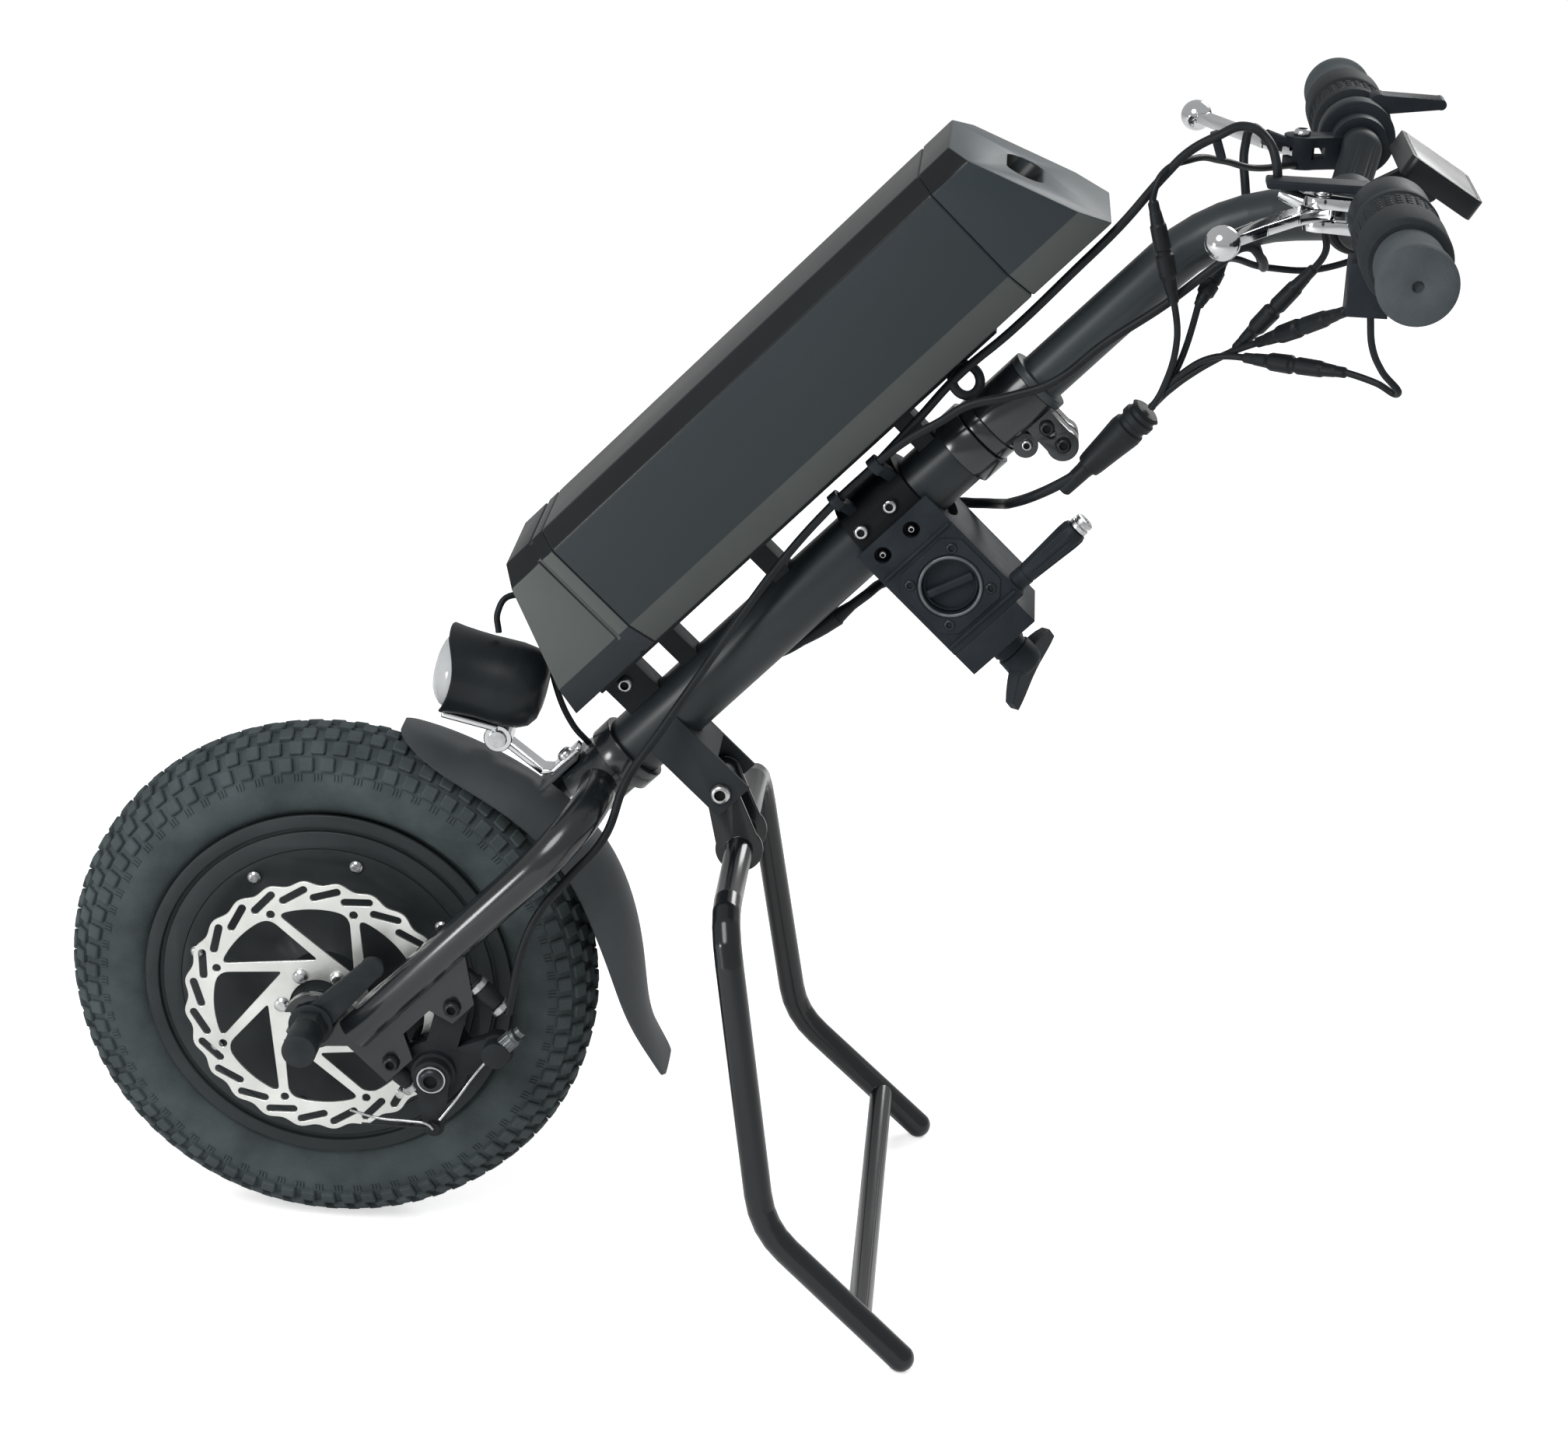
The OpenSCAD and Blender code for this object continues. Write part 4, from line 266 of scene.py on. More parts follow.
upper_outer = swept("upper_brake_outer", [from_ground(*p) for p in NEAR_UPPER], OUTER_R, cable_black)
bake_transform(upper_outer)
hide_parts("brake_cables")
lower_outer = swept("lower_brake_outer", [from_ground(*p) for p in NEAR_LOWER], OUTER_R, cable_black)
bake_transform(lower_outer)
far_outer = swept("far_brake_outer", [from_ground(*p) for p in FAR_OUTER], OUTER_R, cable_black)
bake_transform(far_outer)
bare_wire = swept("bare_brake_wire", [from_ground(*p) for p in BARE_WIRE], WIRE_R, wire_steel)
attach(bare_wire, "steering")


def plugged(route, first, last):
    """The lead's route with points added for its two part plug, and the thickness at each"""
    start, end = Vector(route[first]), Vector(route[last])
    points = [(Vector(p), 1) for p in route[:first]]
    points += [(start.lerp(end, t), share) for t, share in PLUG_SHAPE]
    points += [(Vector(p), 1) for p in route[last + 1:]]
    return [from_ground(*p) for p, _ in points], [share for _, share in points]


for lead, route in LEADS.items():
    path, swell = plugged(route, *PLUG_SPANS[lead])
    piece = swept(lead, path, LEAD_R, cable_black, swell=swell)
    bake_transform(piece)
    if lead == "switch_lead":
        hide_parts("bar_leads")

lamp_lead = swept("lamp_lead", [from_ground(*p) for p in LAMP_LEAD], LEAD_R, cable_black)
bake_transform(lamp_lead)
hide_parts("light_wire")
motor_cable = swept("motor_cable", [from_stem(*p) for p in MOTOR_CABLE], MOTOR_R, cable_black,
                    swell=[MOTOR_PLUG.get(k, 1) for k in range(len(MOTOR_CABLE))])
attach(motor_cable, "frame")
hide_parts("main_cable")


# Floor and light: a plain pale floor under a white sky, one broad lamp over the near side, one behind
# and a low one in front, so that the black tubes carry soft streaks along their length.
FLOOR_SIDE, FLOOR_WHITE, FLOOR_ROUGH, FLOOR_LIFT = 60, 0.9, 0.9, 0.55
SKY_LIGHT, SKY_SEEN = 0.5, 1.0
LAMPS = {"key": ((-0.6, -1.6, 2.2), 1.4, 36), "back": ((1.4, 1.8, 1.6), 1.0, 22),
         "side": ((-1.55, -1.40, 0.45), 0.6, 14)}
LAMPS_AIM = (0.25, 0, 0.35)
clear_selection()
bpy.ops.mesh.primitive_plane_add(size=FLOOR_SIDE, location=from_ground(0, 0, 0))
floor = bpy.context.active_object
floor.name = "floor"
floor_paint = bpy.data.materials.new("floor_paint")
floor_paint.use_nodes = True
floor_nodes, floor_links = floor_paint.node_tree.nodes, floor_paint.node_tree.links
floor_shader = floor_nodes["Principled BSDF"]
floor_shader.inputs["Base Color"].default_value = (FLOOR_WHITE, FLOOR_WHITE, FLOOR_WHITE, 1)
floor_shader.inputs["Roughness"].default_value = FLOOR_ROUGH
floor_shader.inputs["Specular IOR Level"].default_value = 0
floor_shader.inputs["Emission Color"].default_value = (1, 1, 1, 1)
floor_rays = floor_nodes.new("ShaderNodeLightPath")
lift = floor_nodes.new("ShaderNodeMath")
lift.operation = "MULTIPLY"
lift.inputs[1].default_value = FLOOR_LIFT
floor_links.new(floor_rays.outputs["Is Camera Ray"], lift.inputs[0])
floor_links.new(lift.outputs["Value"], floor_shader.inputs["Emission Strength"])
floor.data.materials.append(floor_paint)

world = bpy.data.worlds.new("studio")
bpy.context.scene.world = world
world.use_nodes = True
sky_nodes, sky_links = world.node_tree.nodes, world.node_tree.links
sky = sky_nodes["Background"]
sky.inputs["Color"].default_value = (1, 1, 1, 1)
sky_rays = sky_nodes.new("ShaderNodeLightPath")
sky_seen = sky_nodes.new("ShaderNodeMath")
sky_seen.operation = "MAXIMUM"
sky_links.new(sky_rays.outputs["Is Camera Ray"], sky_seen.inputs[0])
sky_links.new(sky_rays.outputs["Is Transmission Ray"], sky_seen.inputs[1])
sky_level = sky_nodes.new("ShaderNodeMapRange")
sky_level.inputs["To Min"].default_value = SKY_LIGHT
sky_level.inputs["To Max"].default_value = SKY_SEEN
sky_links.new(sky_seen.outputs["Value"], sky_level.inputs["Value"])
sky_links.new(sky_level.outputs["Result"], sky.inputs["Strength"])

for name, (place, side, watts) in LAMPS.items():
    lamp = bpy.data.lights.new(name, "AREA")
    lamp.shape = "DISK"
    lamp.size = side
    lamp.energy = watts
    holder = bpy.data.objects.new(name, lamp)
    holder.location = from_ground(*place)
    holder.rotation_mode = "QUATERNION"
    holder.rotation_quaternion = (from_ground(*LAMPS_AIM) - holder.location).to_track_quat("-Z", "Y")
    bpy.context.scene.collection.objects.link(holder)


# Tyre: moulded natural rubber, with staggered rows of square tread blocks over the crown and
# three short ribs under each shoulder block. It is stretched over the hub's flanges.
TREAD = 0.0030
BLOCKS = 72
BLOCK_LONG = 0.0082
BLOCK_WIDE = 0.0086
ROW_LEANS = [radians(a) for a in (-62, -41, -20.5, 0, 20.5, 41, 62)]
SHOULDER_FADE = 0.0004
BLOCK_ROOT, BLOCK_BEVEL = 0.002, 0.1
RIB_LEAN = radians(78)
RIB_LONG, RIB_WIDE, RIB_PROUD, RIB_PITCH = 0.0009, 0.0042, 0.0007, 0.0024
BEAD_R = 0.1015
CARCASS_IN = 0.0012
SECTION_SHARE = 0.6
SECTION_STEPS, TYRE_STEPS = 56, 144
axle_line = Vector((GROUND.x, 0, (tyre_low.z + tyre_high.z) / 2))
tyre_r = (tyre_high.z - tyre_low.z) / 2
tyre_half = (tyre_high.y - tyre_low.y) / 2
section_high = tyre_half + TREAD * SECTION_SHARE - TREAD
section_mid = tyre_r - TREAD - section_high
pitch = 2 * pi / BLOCKS


def spin_round(copies, whole=True):
    """Turns what is selected round the axle, as a skin or as separate copies"""
    turn = 2 * pi if whole else 2 * pi * (copies - 1) / copies
    bpy.ops.mesh.spin(steps=copies if whole else copies - 1, dupli=not whole, angle=turn, center=axle_line,
                      axis=(0, 1, 0))


clear_selection()
bpy.ops.mesh.primitive_circle_add(vertices=SECTION_STEPS, radius=1,
                                  location=axle_line + Vector((section_mid, 0, 0)))
tyre = bpy.context.active_object
tyre.name = "tyre_rubber"
tyre.scale = (section_high, tyre_half - CARCASS_IN, 1)
settle()
edit_all()
bpy.ops.mesh.bisect(plane_co=axle_line + Vector((BEAD_R, 0, 0)), plane_no=(1, 0, 0), clear_inner=True)
bpy.ops.mesh.select_all(action="SELECT")
spin_round(TYRE_STEPS)
bpy.ops.mesh.select_all(action="SELECT")
bpy.ops.mesh.remove_doubles(threshold=0.00002)
bpy.ops.mesh.select_all(action="DESELECT")
bpy.ops.mesh.select_mode(type="EDGE")
bpy.ops.mesh.select_non_manifold(extend=False)
bpy.ops.mesh.bridge_edge_loops()
bpy.ops.mesh.select_all(action="SELECT")
bpy.ops.mesh.normals_make_consistent(inside=False)


def tread_block(lean, long, wide, proud, turned):
    """One tapered block standing on the carcass, copied all round the wheel"""
    away = atan2(sin(lean) / tyre_half, cos(lean) / section_high)
    foot = Vector((section_mid + section_high * cos(lean), (tyre_half - CARCASS_IN) * sin(lean), 0))
    out = Vector((cos(away), sin(away), 0))
    high = proud + BLOCK_ROOT
    bpy.ops.mesh.select_all(action="DESELECT")
    bpy.ops.mesh.primitive_cube_add(size=1, location=axle_line + foot + out * (proud - high / 2),
                                    rotation=(0, 0, away), scale=(high, wide, long))
    bpy.ops.mesh.bevel(offset=min(long, wide) * BLOCK_BEVEL, segments=1, affect="EDGES")
    bpy.ops.mesh.select_linked()
    if turned:
        bpy.ops.transform.rotate(value=turned, orient_axis="Y", center_override=axle_line)
    spin_round(BLOCKS, whole=False)


for row, lean in enumerate(ROW_LEANS):
    tread_block(lean, BLOCK_LONG, BLOCK_WIDE, TREAD - abs(lean) * SHOULDER_FADE, pitch / 2 * (row % 2))
for side in (-1, 1):
    for k in (-1, 0, 1):
        tread_block(side * RIB_LEAN, RIB_LONG, RIB_WIDE, RIB_PROUD, pitch / 2 + k * RIB_PITCH / tyre_r)
bpy.ops.object.mode_set(mode="OBJECT")
bpy.ops.object.shade_smooth_by_angle(angle=radians(32))
tyre_black = mottled("tyre_rubber_black", (55, 62, 64), (72, 80, 82), 38, (0.62, 0.85), 0.25, shine=0.15)
tyre.data.materials.append(tyre_black)
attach(tyre, "wheel")
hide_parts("tyre")


# Hub motor: a cast alloy shell with turned rings, and two spun cover plates held by button screws,
# all in satin black paint. The winding, magnets and bearings are closed in behind the covers.
def finished(node, body, material, edge=0.0005, steps=2, angle=35):
    """The solid with its sharp edges broken and its round faces smooth, as the made piece has them"""
    piece = placed(node + "_finished", frame["nodes"][node].data.copy())
    edit_all()
    bpy.ops.mesh.remove_doubles(threshold=0.000005)
    bpy.ops.mesh.dissolve_limited(angle_limit=radians(0.6))
    bpy.ops.object.mode_set(mode="OBJECT")
    if edge:
        broken = piece.modifiers.new("broken_edges", "BEVEL")
        broken.width = edge
        broken.segments = steps
        broken.limit_method = "ANGLE"
        broken.angle_limit = radians(angle)
        broken.use_clamp_overlap = True
        bpy.ops.object.modifier_apply(modifier=broken.name)
    bpy.ops.object.shade_smooth_by_angle(angle=radians(angle))
    piece.data.materials.clear()
    piece.data.materials.append(material)
    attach(piece, body)
    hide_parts(node)
    return piece


def inside(node, material):
    """A solid that stays as it is, and only takes its finish"""
    frame["nodes"][node].data.materials.clear()
    frame["nodes"][node].data.materials.append(material)


hub_paint = mottled("hub_satin_black", (34, 39, 41), (46, 51, 53), 14, (0.38, 0.52), 0.06, shine=0.24)
cover_paint = mottled("cover_satin_black", (29, 33, 35), (40, 44, 46), 22, (0.34, 0.5), 0.05, shine=0.24)
screw_zinc = mottled("screw_zinc", (168, 170, 172), (214, 216, 216), 160, (0.2, 0.34), 0.04, Metallic=1.0)
bearing_steel = mottled("bearing_steel", (140, 142, 144), (180, 182, 184), 90, (0.25, 0.4), 0.03,
                        Metallic=1.0)
winding_copper = mottled("winding_copper", (150, 84, 48), (184, 110, 66), 120, (0.35, 0.5), 0.2, Metallic=1.0)
magnet_nickel = mottled("magnet_nickel", (120, 122, 124), (150, 152, 154), 70, (0.3, 0.45), 0.05,
                        Metallic=1.0)
finished("hub_shell", "wheel", hub_paint, 0.0007)
finished("hub_covers", "wheel", cover_paint, 0.0006)
finished("cover_screws", "wheel", screw_zinc, 0.0003)
inside("wheel_bearings", bearing_steel)
inside("stator", winding_copper)
inside("magnet_ring", magnet_nickel)


# Brake rotor: one stamped stainless disc with a wavy edge, twenty-four slots leaning across the ring and
# eight straight arms that meet the hub at a slant. It is ground flat and held by button head bolts.
ROTOR_R = 0.0800
WAVE = 0.0025
WAVES = 24
SLOT_AT, SLOT_LONG, SLOT_WIDE = 0.0721, 0.0188, 0.0046
SLOT_FIRST, SLOT_LEAN = radians(11.9), radians(21)
WAVE_CREST = radians(6.5)
ARMS = 8
HOLE_AT, HOLE_R, HOLE_FIRST = 0.0638, 0.0025, radians(26.25)
WINDOW_R, WINDOW_IN = 0.0624, 0.0302
BOLTS, BOLT_AT, BOLT_HOLE, BORE_R = 6, 0.022, 0.0028, 0.0175
ROTOR_EDGE = 0.0002
RIM_STEPS, BORE_STEPS = 288, 48
WINDOW_START, WINDOW_END, WINDOW_TIP = radians(2), radians(41.5), radians(-25.5)
WINDOW_ROUNDS = (0.0070, 0.0050, 0.0028)
rotor_low, rotor_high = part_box("brake_rotor")


def spoke(reach, angle):
    return Vector((reach * cos(angle), reach * sin(angle)))


def ring_loop(centre, reach, steps=20):
    return [centre + spoke(reach, 2 * pi * k / steps) for k in range(steps)]


def rounded_loop(corners, cuts, steps=7):
    """A flat loop whose corners are rounded off from the given distance along each side"""
    loop = []
    for k, (corner, cut) in enumerate(zip(corners, cuts)):
        enter = corner + (corners[k - 1] - corner).normalized() * cut
        leave = corner + (corners[(k + 1) % len(corners)] - corner).normalized() * cut
        for i in range(steps + 1 if cut else 1):
            t = i / steps
            loop.append(enter * (1 - t) ** 2 + corner * 2 * t * (1 - t) + leave * t * t)
    return loop


def slot_loop(angle):
    """A round ended slot, its leading end nearer the edge"""
    along, across = spoke(1, angle - pi / 2 + SLOT_LEAN), spoke(1, angle + SLOT_LEAN)
    loop = []
    for end in (1, -1):
        middle = spoke(SLOT_AT, angle) + along * end * (SLOT_LONG - SLOT_WIDE) / 2
        for k in range(9):
            turn = pi * k / 8 - pi / 2
            loop.append(middle + (along * cos(turn) + across * sin(turn)) * end * SLOT_WIDE / 2)
    return loop


def window_loop(hole):
    """The opening between one arm and the next, along the ring and in to the hub"""
    corners, cuts = [spoke(WINDOW_R, hole + WINDOW_START)], [WINDOW_ROUNDS[0]]
    for turn in range(10, 37, 2):
        corners.append(spoke(WINDOW_R, hole + radians(turn)))
        cuts.append(0)
    corners += [spoke(WINDOW_R, hole + WINDOW_END), spoke(WINDOW_IN, hole + WINDOW_TIP)]
    return rounded_loop(corners, [*cuts, *WINDOW_ROUNDS[1:]])


def stamped(name, loops, thick, edge, place):
    """A plate cut to flat loops, the first its outline, standing square to the axle"""
    plate = bpy.data.curves.new(name, "CURVE")
    plate.dimensions = "2D"
    plate.fill_mode = "BOTH"
    plate.extrude = thick / 2 - edge
    plate.bevel_depth = edge
    plate.bevel_resolution = 0
    plate.offset = -edge
    for loop in loops:
        spline = plate.splines.new("POLY")
        spline.points.add(len(loop) - 1)
        for point, corner in zip(spline.points, loop):
            point.co = (corner.x, corner.y, 0, 1)
        spline.use_cyclic_u = True
    piece = placed(name, plate)
    piece.location = place
    piece.rotation_euler = (pi / 2, 0, 0)
    bpy.ops.object.convert(target="MESH")
    piece = bpy.context.view_layer.objects.active
    settle()
    close_up(30, weld=0.000005)
    piece.data.materials.clear()
    return piece


rim = []
for k in range(RIM_STEPS):
    angle = 2 * pi * k / RIM_STEPS
    rim.append(spoke(ROTOR_R - WAVE / 2 * (1 - cos(WAVES * (angle - WAVE_CREST))), angle))
loops = [rim, ring_loop(Vector((0, 0)), BORE_R, BORE_STEPS)]
loops += [slot_loop(SLOT_FIRST + 2 * pi * k / WAVES) for k in range(WAVES)]
for k in range(ARMS):
    hole = HOLE_FIRST + 2 * pi * k / ARMS
    loops += [window_loop(hole), ring_loop(spoke(HOLE_AT, hole), HOLE_R)]
loops += [ring_loop(spoke(BOLT_AT, 2 * pi * k / BOLTS), BOLT_HOLE) for k in range(BOLTS)]
rotor = stamped("wavy_rotor", loops, rotor_high.y - rotor_low.y, ROTOR_EDGE,
                axle_line + Vector((0, (rotor_low.y + rotor_high.y) / 2, 0)))
rotor_steel = mottled("rotor_steel", (218, 220, 216), (242, 244, 240), 30, (0.34, 0.46), 0.12,
                      bump_grain=1400, Metallic=0.9)
rotor.data.materials.append(rotor_steel)
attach(rotor, "wheel")
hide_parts("brake_rotor")
finished("rotor_bolts", "wheel", screw_zinc, 0.0003)


# Axle set: a hardened steel axle with flats, hooked torque arms laid on the fork, washers and nuts
# screwed up against them, and black moulded end caps.
cap_black = mottled("cap_black", (30, 34, 37), (44, 48, 51), 45, (0.45, 0.62), 0.12, shine=0.2)
finished("axle", "steering", bearing_steel, 0.0004)
finished("axle_nuts", "steering", cap_black, 0.0006)


# Fork: two bent steel legs brazed into a crown, with dropouts and a brake tab, in thick gloss black
# powder coat. The steerer runs up from it inside the main tube.
gloss_black = mottled("gloss_black_paint", (20, 23, 26), (27, 31, 34), 9, (0.18, 0.28), 0.02, bump_grain=420,
                      shine=0.5, Coat_Weight=0.4, Coat_Roughness=0.12)
finished("fork", "steering", gloss_black, 0.0008)
finished("steerer", "steering", bearing_steel, 0.0004)


def joined(name, pieces):
    """Several lengths made one piece, as they are moulded, welded or sold in one bag"""
    clear_selection()
    for piece in pieces:
        piece.select_set(True)
    bpy.context.view_layer.objects.active = pieces[0]
    bpy.ops.object.join()
    pieces[0].name = name
    return pieces[0]


def turned(name, centre, axis, rings, material, sides=40):
    """A round piece drawn out ring by ring along its axis; each ring is a distance and a radius"""
    clear_selection()
    start, wide = rings[0]
    bpy.ops.mesh.primitive_circle_add(vertices=sides, radius=wide, fill_type="NGON",
                                      location=centre + axis * start,
                                      rotation=axis.to_track_quat("Z", "Y").to_euler())
    piece = bpy.context.active_object
    piece.name = name
    settle()
    edit_all()
    here = start
    for along, radius in rings[1:]:
        bpy.ops.mesh.extrude_region_move(TRANSFORM_OT_translate={"value": axis * (along - here)})
        bpy.ops.transform.resize(value=[radius / wide] * 3, center_override=centre + axis * along)
        here, wide = along, radius
    close_up(38)
    piece.data.materials.append(material)
    return piece


HEAD_SHAPE = [(0, 0.55), (0, 0.96), (0.08, 1), (0.3, 1), (0.62, 0.93), (0.88, 0.8), (1, 0.66), (1, 0.54),
              (0.4, 0.5), (0.36, 0.05)]
# Faces deeper than SOCKET_FLOOR of the head and within SOCKET_R of its radius take the painted shade
SOCKET_FLOOR, SOCKET_R = 0.3, 0.53


def socket_screw(place, axis, head_r, head_h, material):
    """A button head with a rolled edge and a socket sunk in it, whose inner faces are painted dark as painted
    shade
    """
    head = turned("screw", place, axis, [(t * head_h, r * head_r) for t, r in HEAD_SHAPE], material, 24)
    head.data.materials.append(socket_painted_shade)
    for face in head.data.polygons:
        off = face.center - place
        along = off.dot(axis)
        if along > SOCKET_FLOOR * head_h and (off - axis * along).length < SOCKET_R * head_r:
            face.material_index = 1
    return head


# Painted shade: the near black inside the screw sockets stands in for shade in the hollow, not for the
# metal's colour
socket_painted_shade = mottled("socket_painted_shade", (16, 18, 20), (26, 28, 30), 160, (0.5, 0.65), 0.04, shine=0.15)
screw_dark = mottled("screw_dark", (34, 38, 41), (52, 56, 60), 160, (0.28, 0.42), 0.04, Metallic=0.6)
NEAR = Vector((0, -1, 0))
UP = Vector((0, 0, 1))
torque_bolt = from_stem(0.050, -0.0788, 0.0275)
WASHER_RINGS = [(0, 0.0078), (0, 0.0084), (0.0004, 0.0086), (0.0010, 0.0086), (0.0014, 0.0084),
                (0.0014, 0.0078)]
STEERED_SCREWS = [(from_stem(0.0205, -0.0131, 0.542), NEAR, 0.0044, 0.0030, screw_dark),
                  (from_stem(0.034, -0.0131, 0.542), NEAR, 0.0044, 0.0030, screw_dark),
                  (from_stem(0.020, -0.0130, 0.5272), NEAR, 0.0034, 0.0026, screw_zinc),
                  (from_stem(0.028, -0.0731, 0.015), NEAR, 0.0050, 0.0040, screw_dark),
                  (from_stem(0.028, -0.0731, 0.067), NEAR, 0.0050, 0.0040, screw_dark),
                  (torque_bolt, NEAR, 0.0077, 0.0040, screw_dark),
                  (from_stem(-0.0233, 0, 0.201), -stem_behind, 0.0050, 0.0036, screw_zinc),
                  (from_ground(0.53243, -0.078, 0.67985), UP, 0.0048, 0.0034, screw_zinc),
                  (from_ground(0.53243, 0.078, 0.67985), UP, 0.0048, 0.0034, screw_zinc)]
steered_screws = [socket_screw(*screw) for screw in STEERED_SCREWS]
steered_screws.append(turned("washer", torque_bolt, NEAR, WASHER_RINGS, screw_zinc, 32))
steered = joined("steered_screws", steered_screws)
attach(steered, "steering")
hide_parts("fork_bolts")


# Brake caliper: a cast alloy body in matt black with its adapter and cable stop, two pads inside
# and an arm on the main bolt that the wire pulls.
caliper_black = mottled("caliper_black", (20, 23, 26), (31, 35, 38), 60, (0.42, 0.58), 0.15, shine=0.24)
pad_compound = mottled("pad_compound", (58, 52, 46), (90, 80, 70), 300, (0.7, 0.9), 0.3)
finished("caliper_body", "steering", caliper_black, 0.0008)
finished("caliper_arm", "brake_arm", caliper_black, 0.0008)
inside("brake_pads", pad_compound)
BARREL_AT = from_stem(0.066, -0.069, 0)
BARREL_RINGS = [(0.0640, 0.0030), (0.0642, 0.0046), (0.0665, 0.0048), (0.0668, 0.0042), (0.0680, 0.0042),
                (0.0684, 0.0054), (0.0780, 0.0054), (0.0786, 0.0046), (0.0815, 0.0044), (0.0822, 0.0036),
                (0.0850, 0.0034), (0.0852, 0.0026)]
barrel_grey = mottled("barrel_grey", (84, 88, 90), (112, 116, 118), 120, (0.3, 0.45), 0.1, Metallic=0.7)
KNURL_SPAN, KNURL_DEEP, KNURLS = (0.0683, 0.0782), 0.12, 16
barrel = turned("knurled_barrel", BARREL_AT, stem_up, BARREL_RINGS, barrel_grey, 48)


def grooved(piece, centre, span, count, deep):
    """Cuts grooves along a turned piece, between two places up the stem"""
    for corner in piece.data.vertices:
        off = corner.co - centre
        along = off.dot(stem_up)
        if span[0] < along < span[1]:
            groove = max(0, cos(count * atan2(off.y, off.dot(stem_behind))))
            corner.co -= (off - stem_up * along) * deep * groove


grooved(barrel, BARREL_AT, KNURL_SPAN, KNURLS, KNURL_DEEP)
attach(barrel, "steering")
POST_SHAPE = [(0.0185, 0.0020), (0.0186, 0.0042), (0.0192, 0.0046), (0.0258, 0.0046), (0.0260, 0.0056),
              (0.0272, 0.0056)]
POST_CUP = [(0.0322, 0.0040), (0.0323, 0.0058), (0.0350, 0.0062), (0.0420, 0.0056), (0.0455, 0.0050),
            (0.0456, 0.0030)]
POST_WASHER = [(0, 0.0030), (0, 0.0062), (0.0006, 0.0068), (0.0036, 0.0068), (0.0044, 0.0060),
               (0.0044, 0.0030)]
POSTS_UP, WASHERS_OUT = (0.0105, 0.0855), (0.0275, 0.0460)
posts = []
for along in POSTS_UP:
    post = from_stem(0, -0.066, along)
    posts.append(turned("post", post, stem_behind, POST_SHAPE, screw_dark, 24))
    posts.append(turned("cup", post, stem_behind, POST_CUP, caliper_black, 24))
    for out in WASHERS_OUT:
        posts.append(turned("washer", post + stem_behind * out, stem_behind, POST_WASHER, screw_zinc, 24))
caliper_posts = joined("caliper_posts", posts)
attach(caliper_posts, "steering")
WIRE_TAIL = [(0.0732, -0.0835, 0.1000), (0.0700, -0.0835, 0.1030), (0.0585, -0.083, 0.1040),
             (0.0411, -0.082, 0.1040), (0.0240, -0.082, 0.1080)]
wire_tail = swept("wire_tail", [from_ground(*p) for p in WIRE_TAIL], WIRE_R, wire_steel)
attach(wire_tail, "brake_arm")


# Mudguard: one injection moulded polypropylene blade, arched across, with a flared tail. A tab stands
# up from it and is bolted to the front of the crown, behind the lamp's strip.
def block(name, place, size, turn, material, rounding):
    """A moulded or machined block, turned about the cross axis, with its edges rounded over"""
    clear_selection()
    bpy.ops.mesh.primitive_cube_add(size=1, location=place, rotation=(0, turn, 0), scale=size)
    piece = bpy.context.active_object
    piece.name = name
    settle()
    edit_all()
    bpy.ops.mesh.bevel(offset=rounding, segments=3, affect="EDGES")
    bpy.ops.object.mode_set(mode="OBJECT")
    bpy.ops.object.shade_smooth_by_angle(angle=radians(40))
    piece.data.materials.append(material)
    return piece


guard_black = mottled("guard_black", (61, 65, 68), (74, 78, 81), 16, (0.42, 0.55), 0.1, shine=0.2)
GUARD_T = 0.0025
GUARD_ACROSS = 14
GUARD_ARCH = 2.4
GUARD_SMOOTHING = 2
TAB_AT, TAB_SIZE, TAB_ROUND = (-0.0193, 0, 0.1905), (0.034, 0.018, 0.0026), 0.0008
GUARD_LINE = [(14.0, 0.1662, 0.010, 0.0015), (15.5, 0.1665, 0.0165, 0.003), (18, 0.1668, 0.022, 0.0055),
              (22, 0.1676, 0.0275, 0.0085), (27, 0.1690, 0.0305, 0.0110), (33, 0.1716, 0.0315, 0.0130),
              (40, 0.1752, 0.0320, 0.0145), (48, 0.1795, 0.0320, 0.0160), (56, 0.1850, 0.0325, 0.0190),
              (65, 0.1868, 0.0330, 0.0200), (74, 0.1862, 0.0330, 0.0185), (82, 0.1856, 0.0315, 0.0145),
              (88, 0.1860, 0.0295, 0.0108), (93, 0.1882, 0.0260, 0.0072), (97, 0.1930, 0.0225, 0.0042),
              (100, 0.1990, 0.0200, 0.0020), (102, 0.2042, 0.0190, 0.0008), (103, 0.2068, 0.0172, 0.0003)]
clear_selection()
bpy.ops.mesh.primitive_grid_add(x_subdivisions=len(GUARD_LINE) - 1, y_subdivisions=GUARD_ACROSS, size=2,
                                location=(0, 0, 0))
guard = bpy.context.active_object
guard.name = "spoon_mudguard"
for corner in guard.data.vertices:
    turn, reach, half, drop = GUARD_LINE[round((corner.co.x + 1) / 2 * (len(GUARD_LINE) - 1))]
    across = corner.co.y
    reach -= drop * abs(across) ** GUARD_ARCH
    corner.co = axle_line + Vector((reach * sin(radians(turn)), half * across, reach * cos(radians(turn))))
curved = guard.modifiers.new("curved", "SUBSURF")
curved.levels = curved.render_levels = GUARD_SMOOTHING
bpy.ops.object.modifier_apply(modifier=curved.name)
wall = guard.modifiers.new("wall", "SOLIDIFY")
wall.thickness = GUARD_T
wall.offset = 0
bpy.ops.object.modifier_apply(modifier=wall.name)
close_up(50)
guard.data.materials.append(guard_black)
tab = block("guard_tab", from_stem(*TAB_AT), TAB_SIZE, -STEM_TILT, guard_black, TAB_ROUND)
guard = joined("spoon_mudguard", [guard, tab])
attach(guard, "steering")
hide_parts("mudguard")


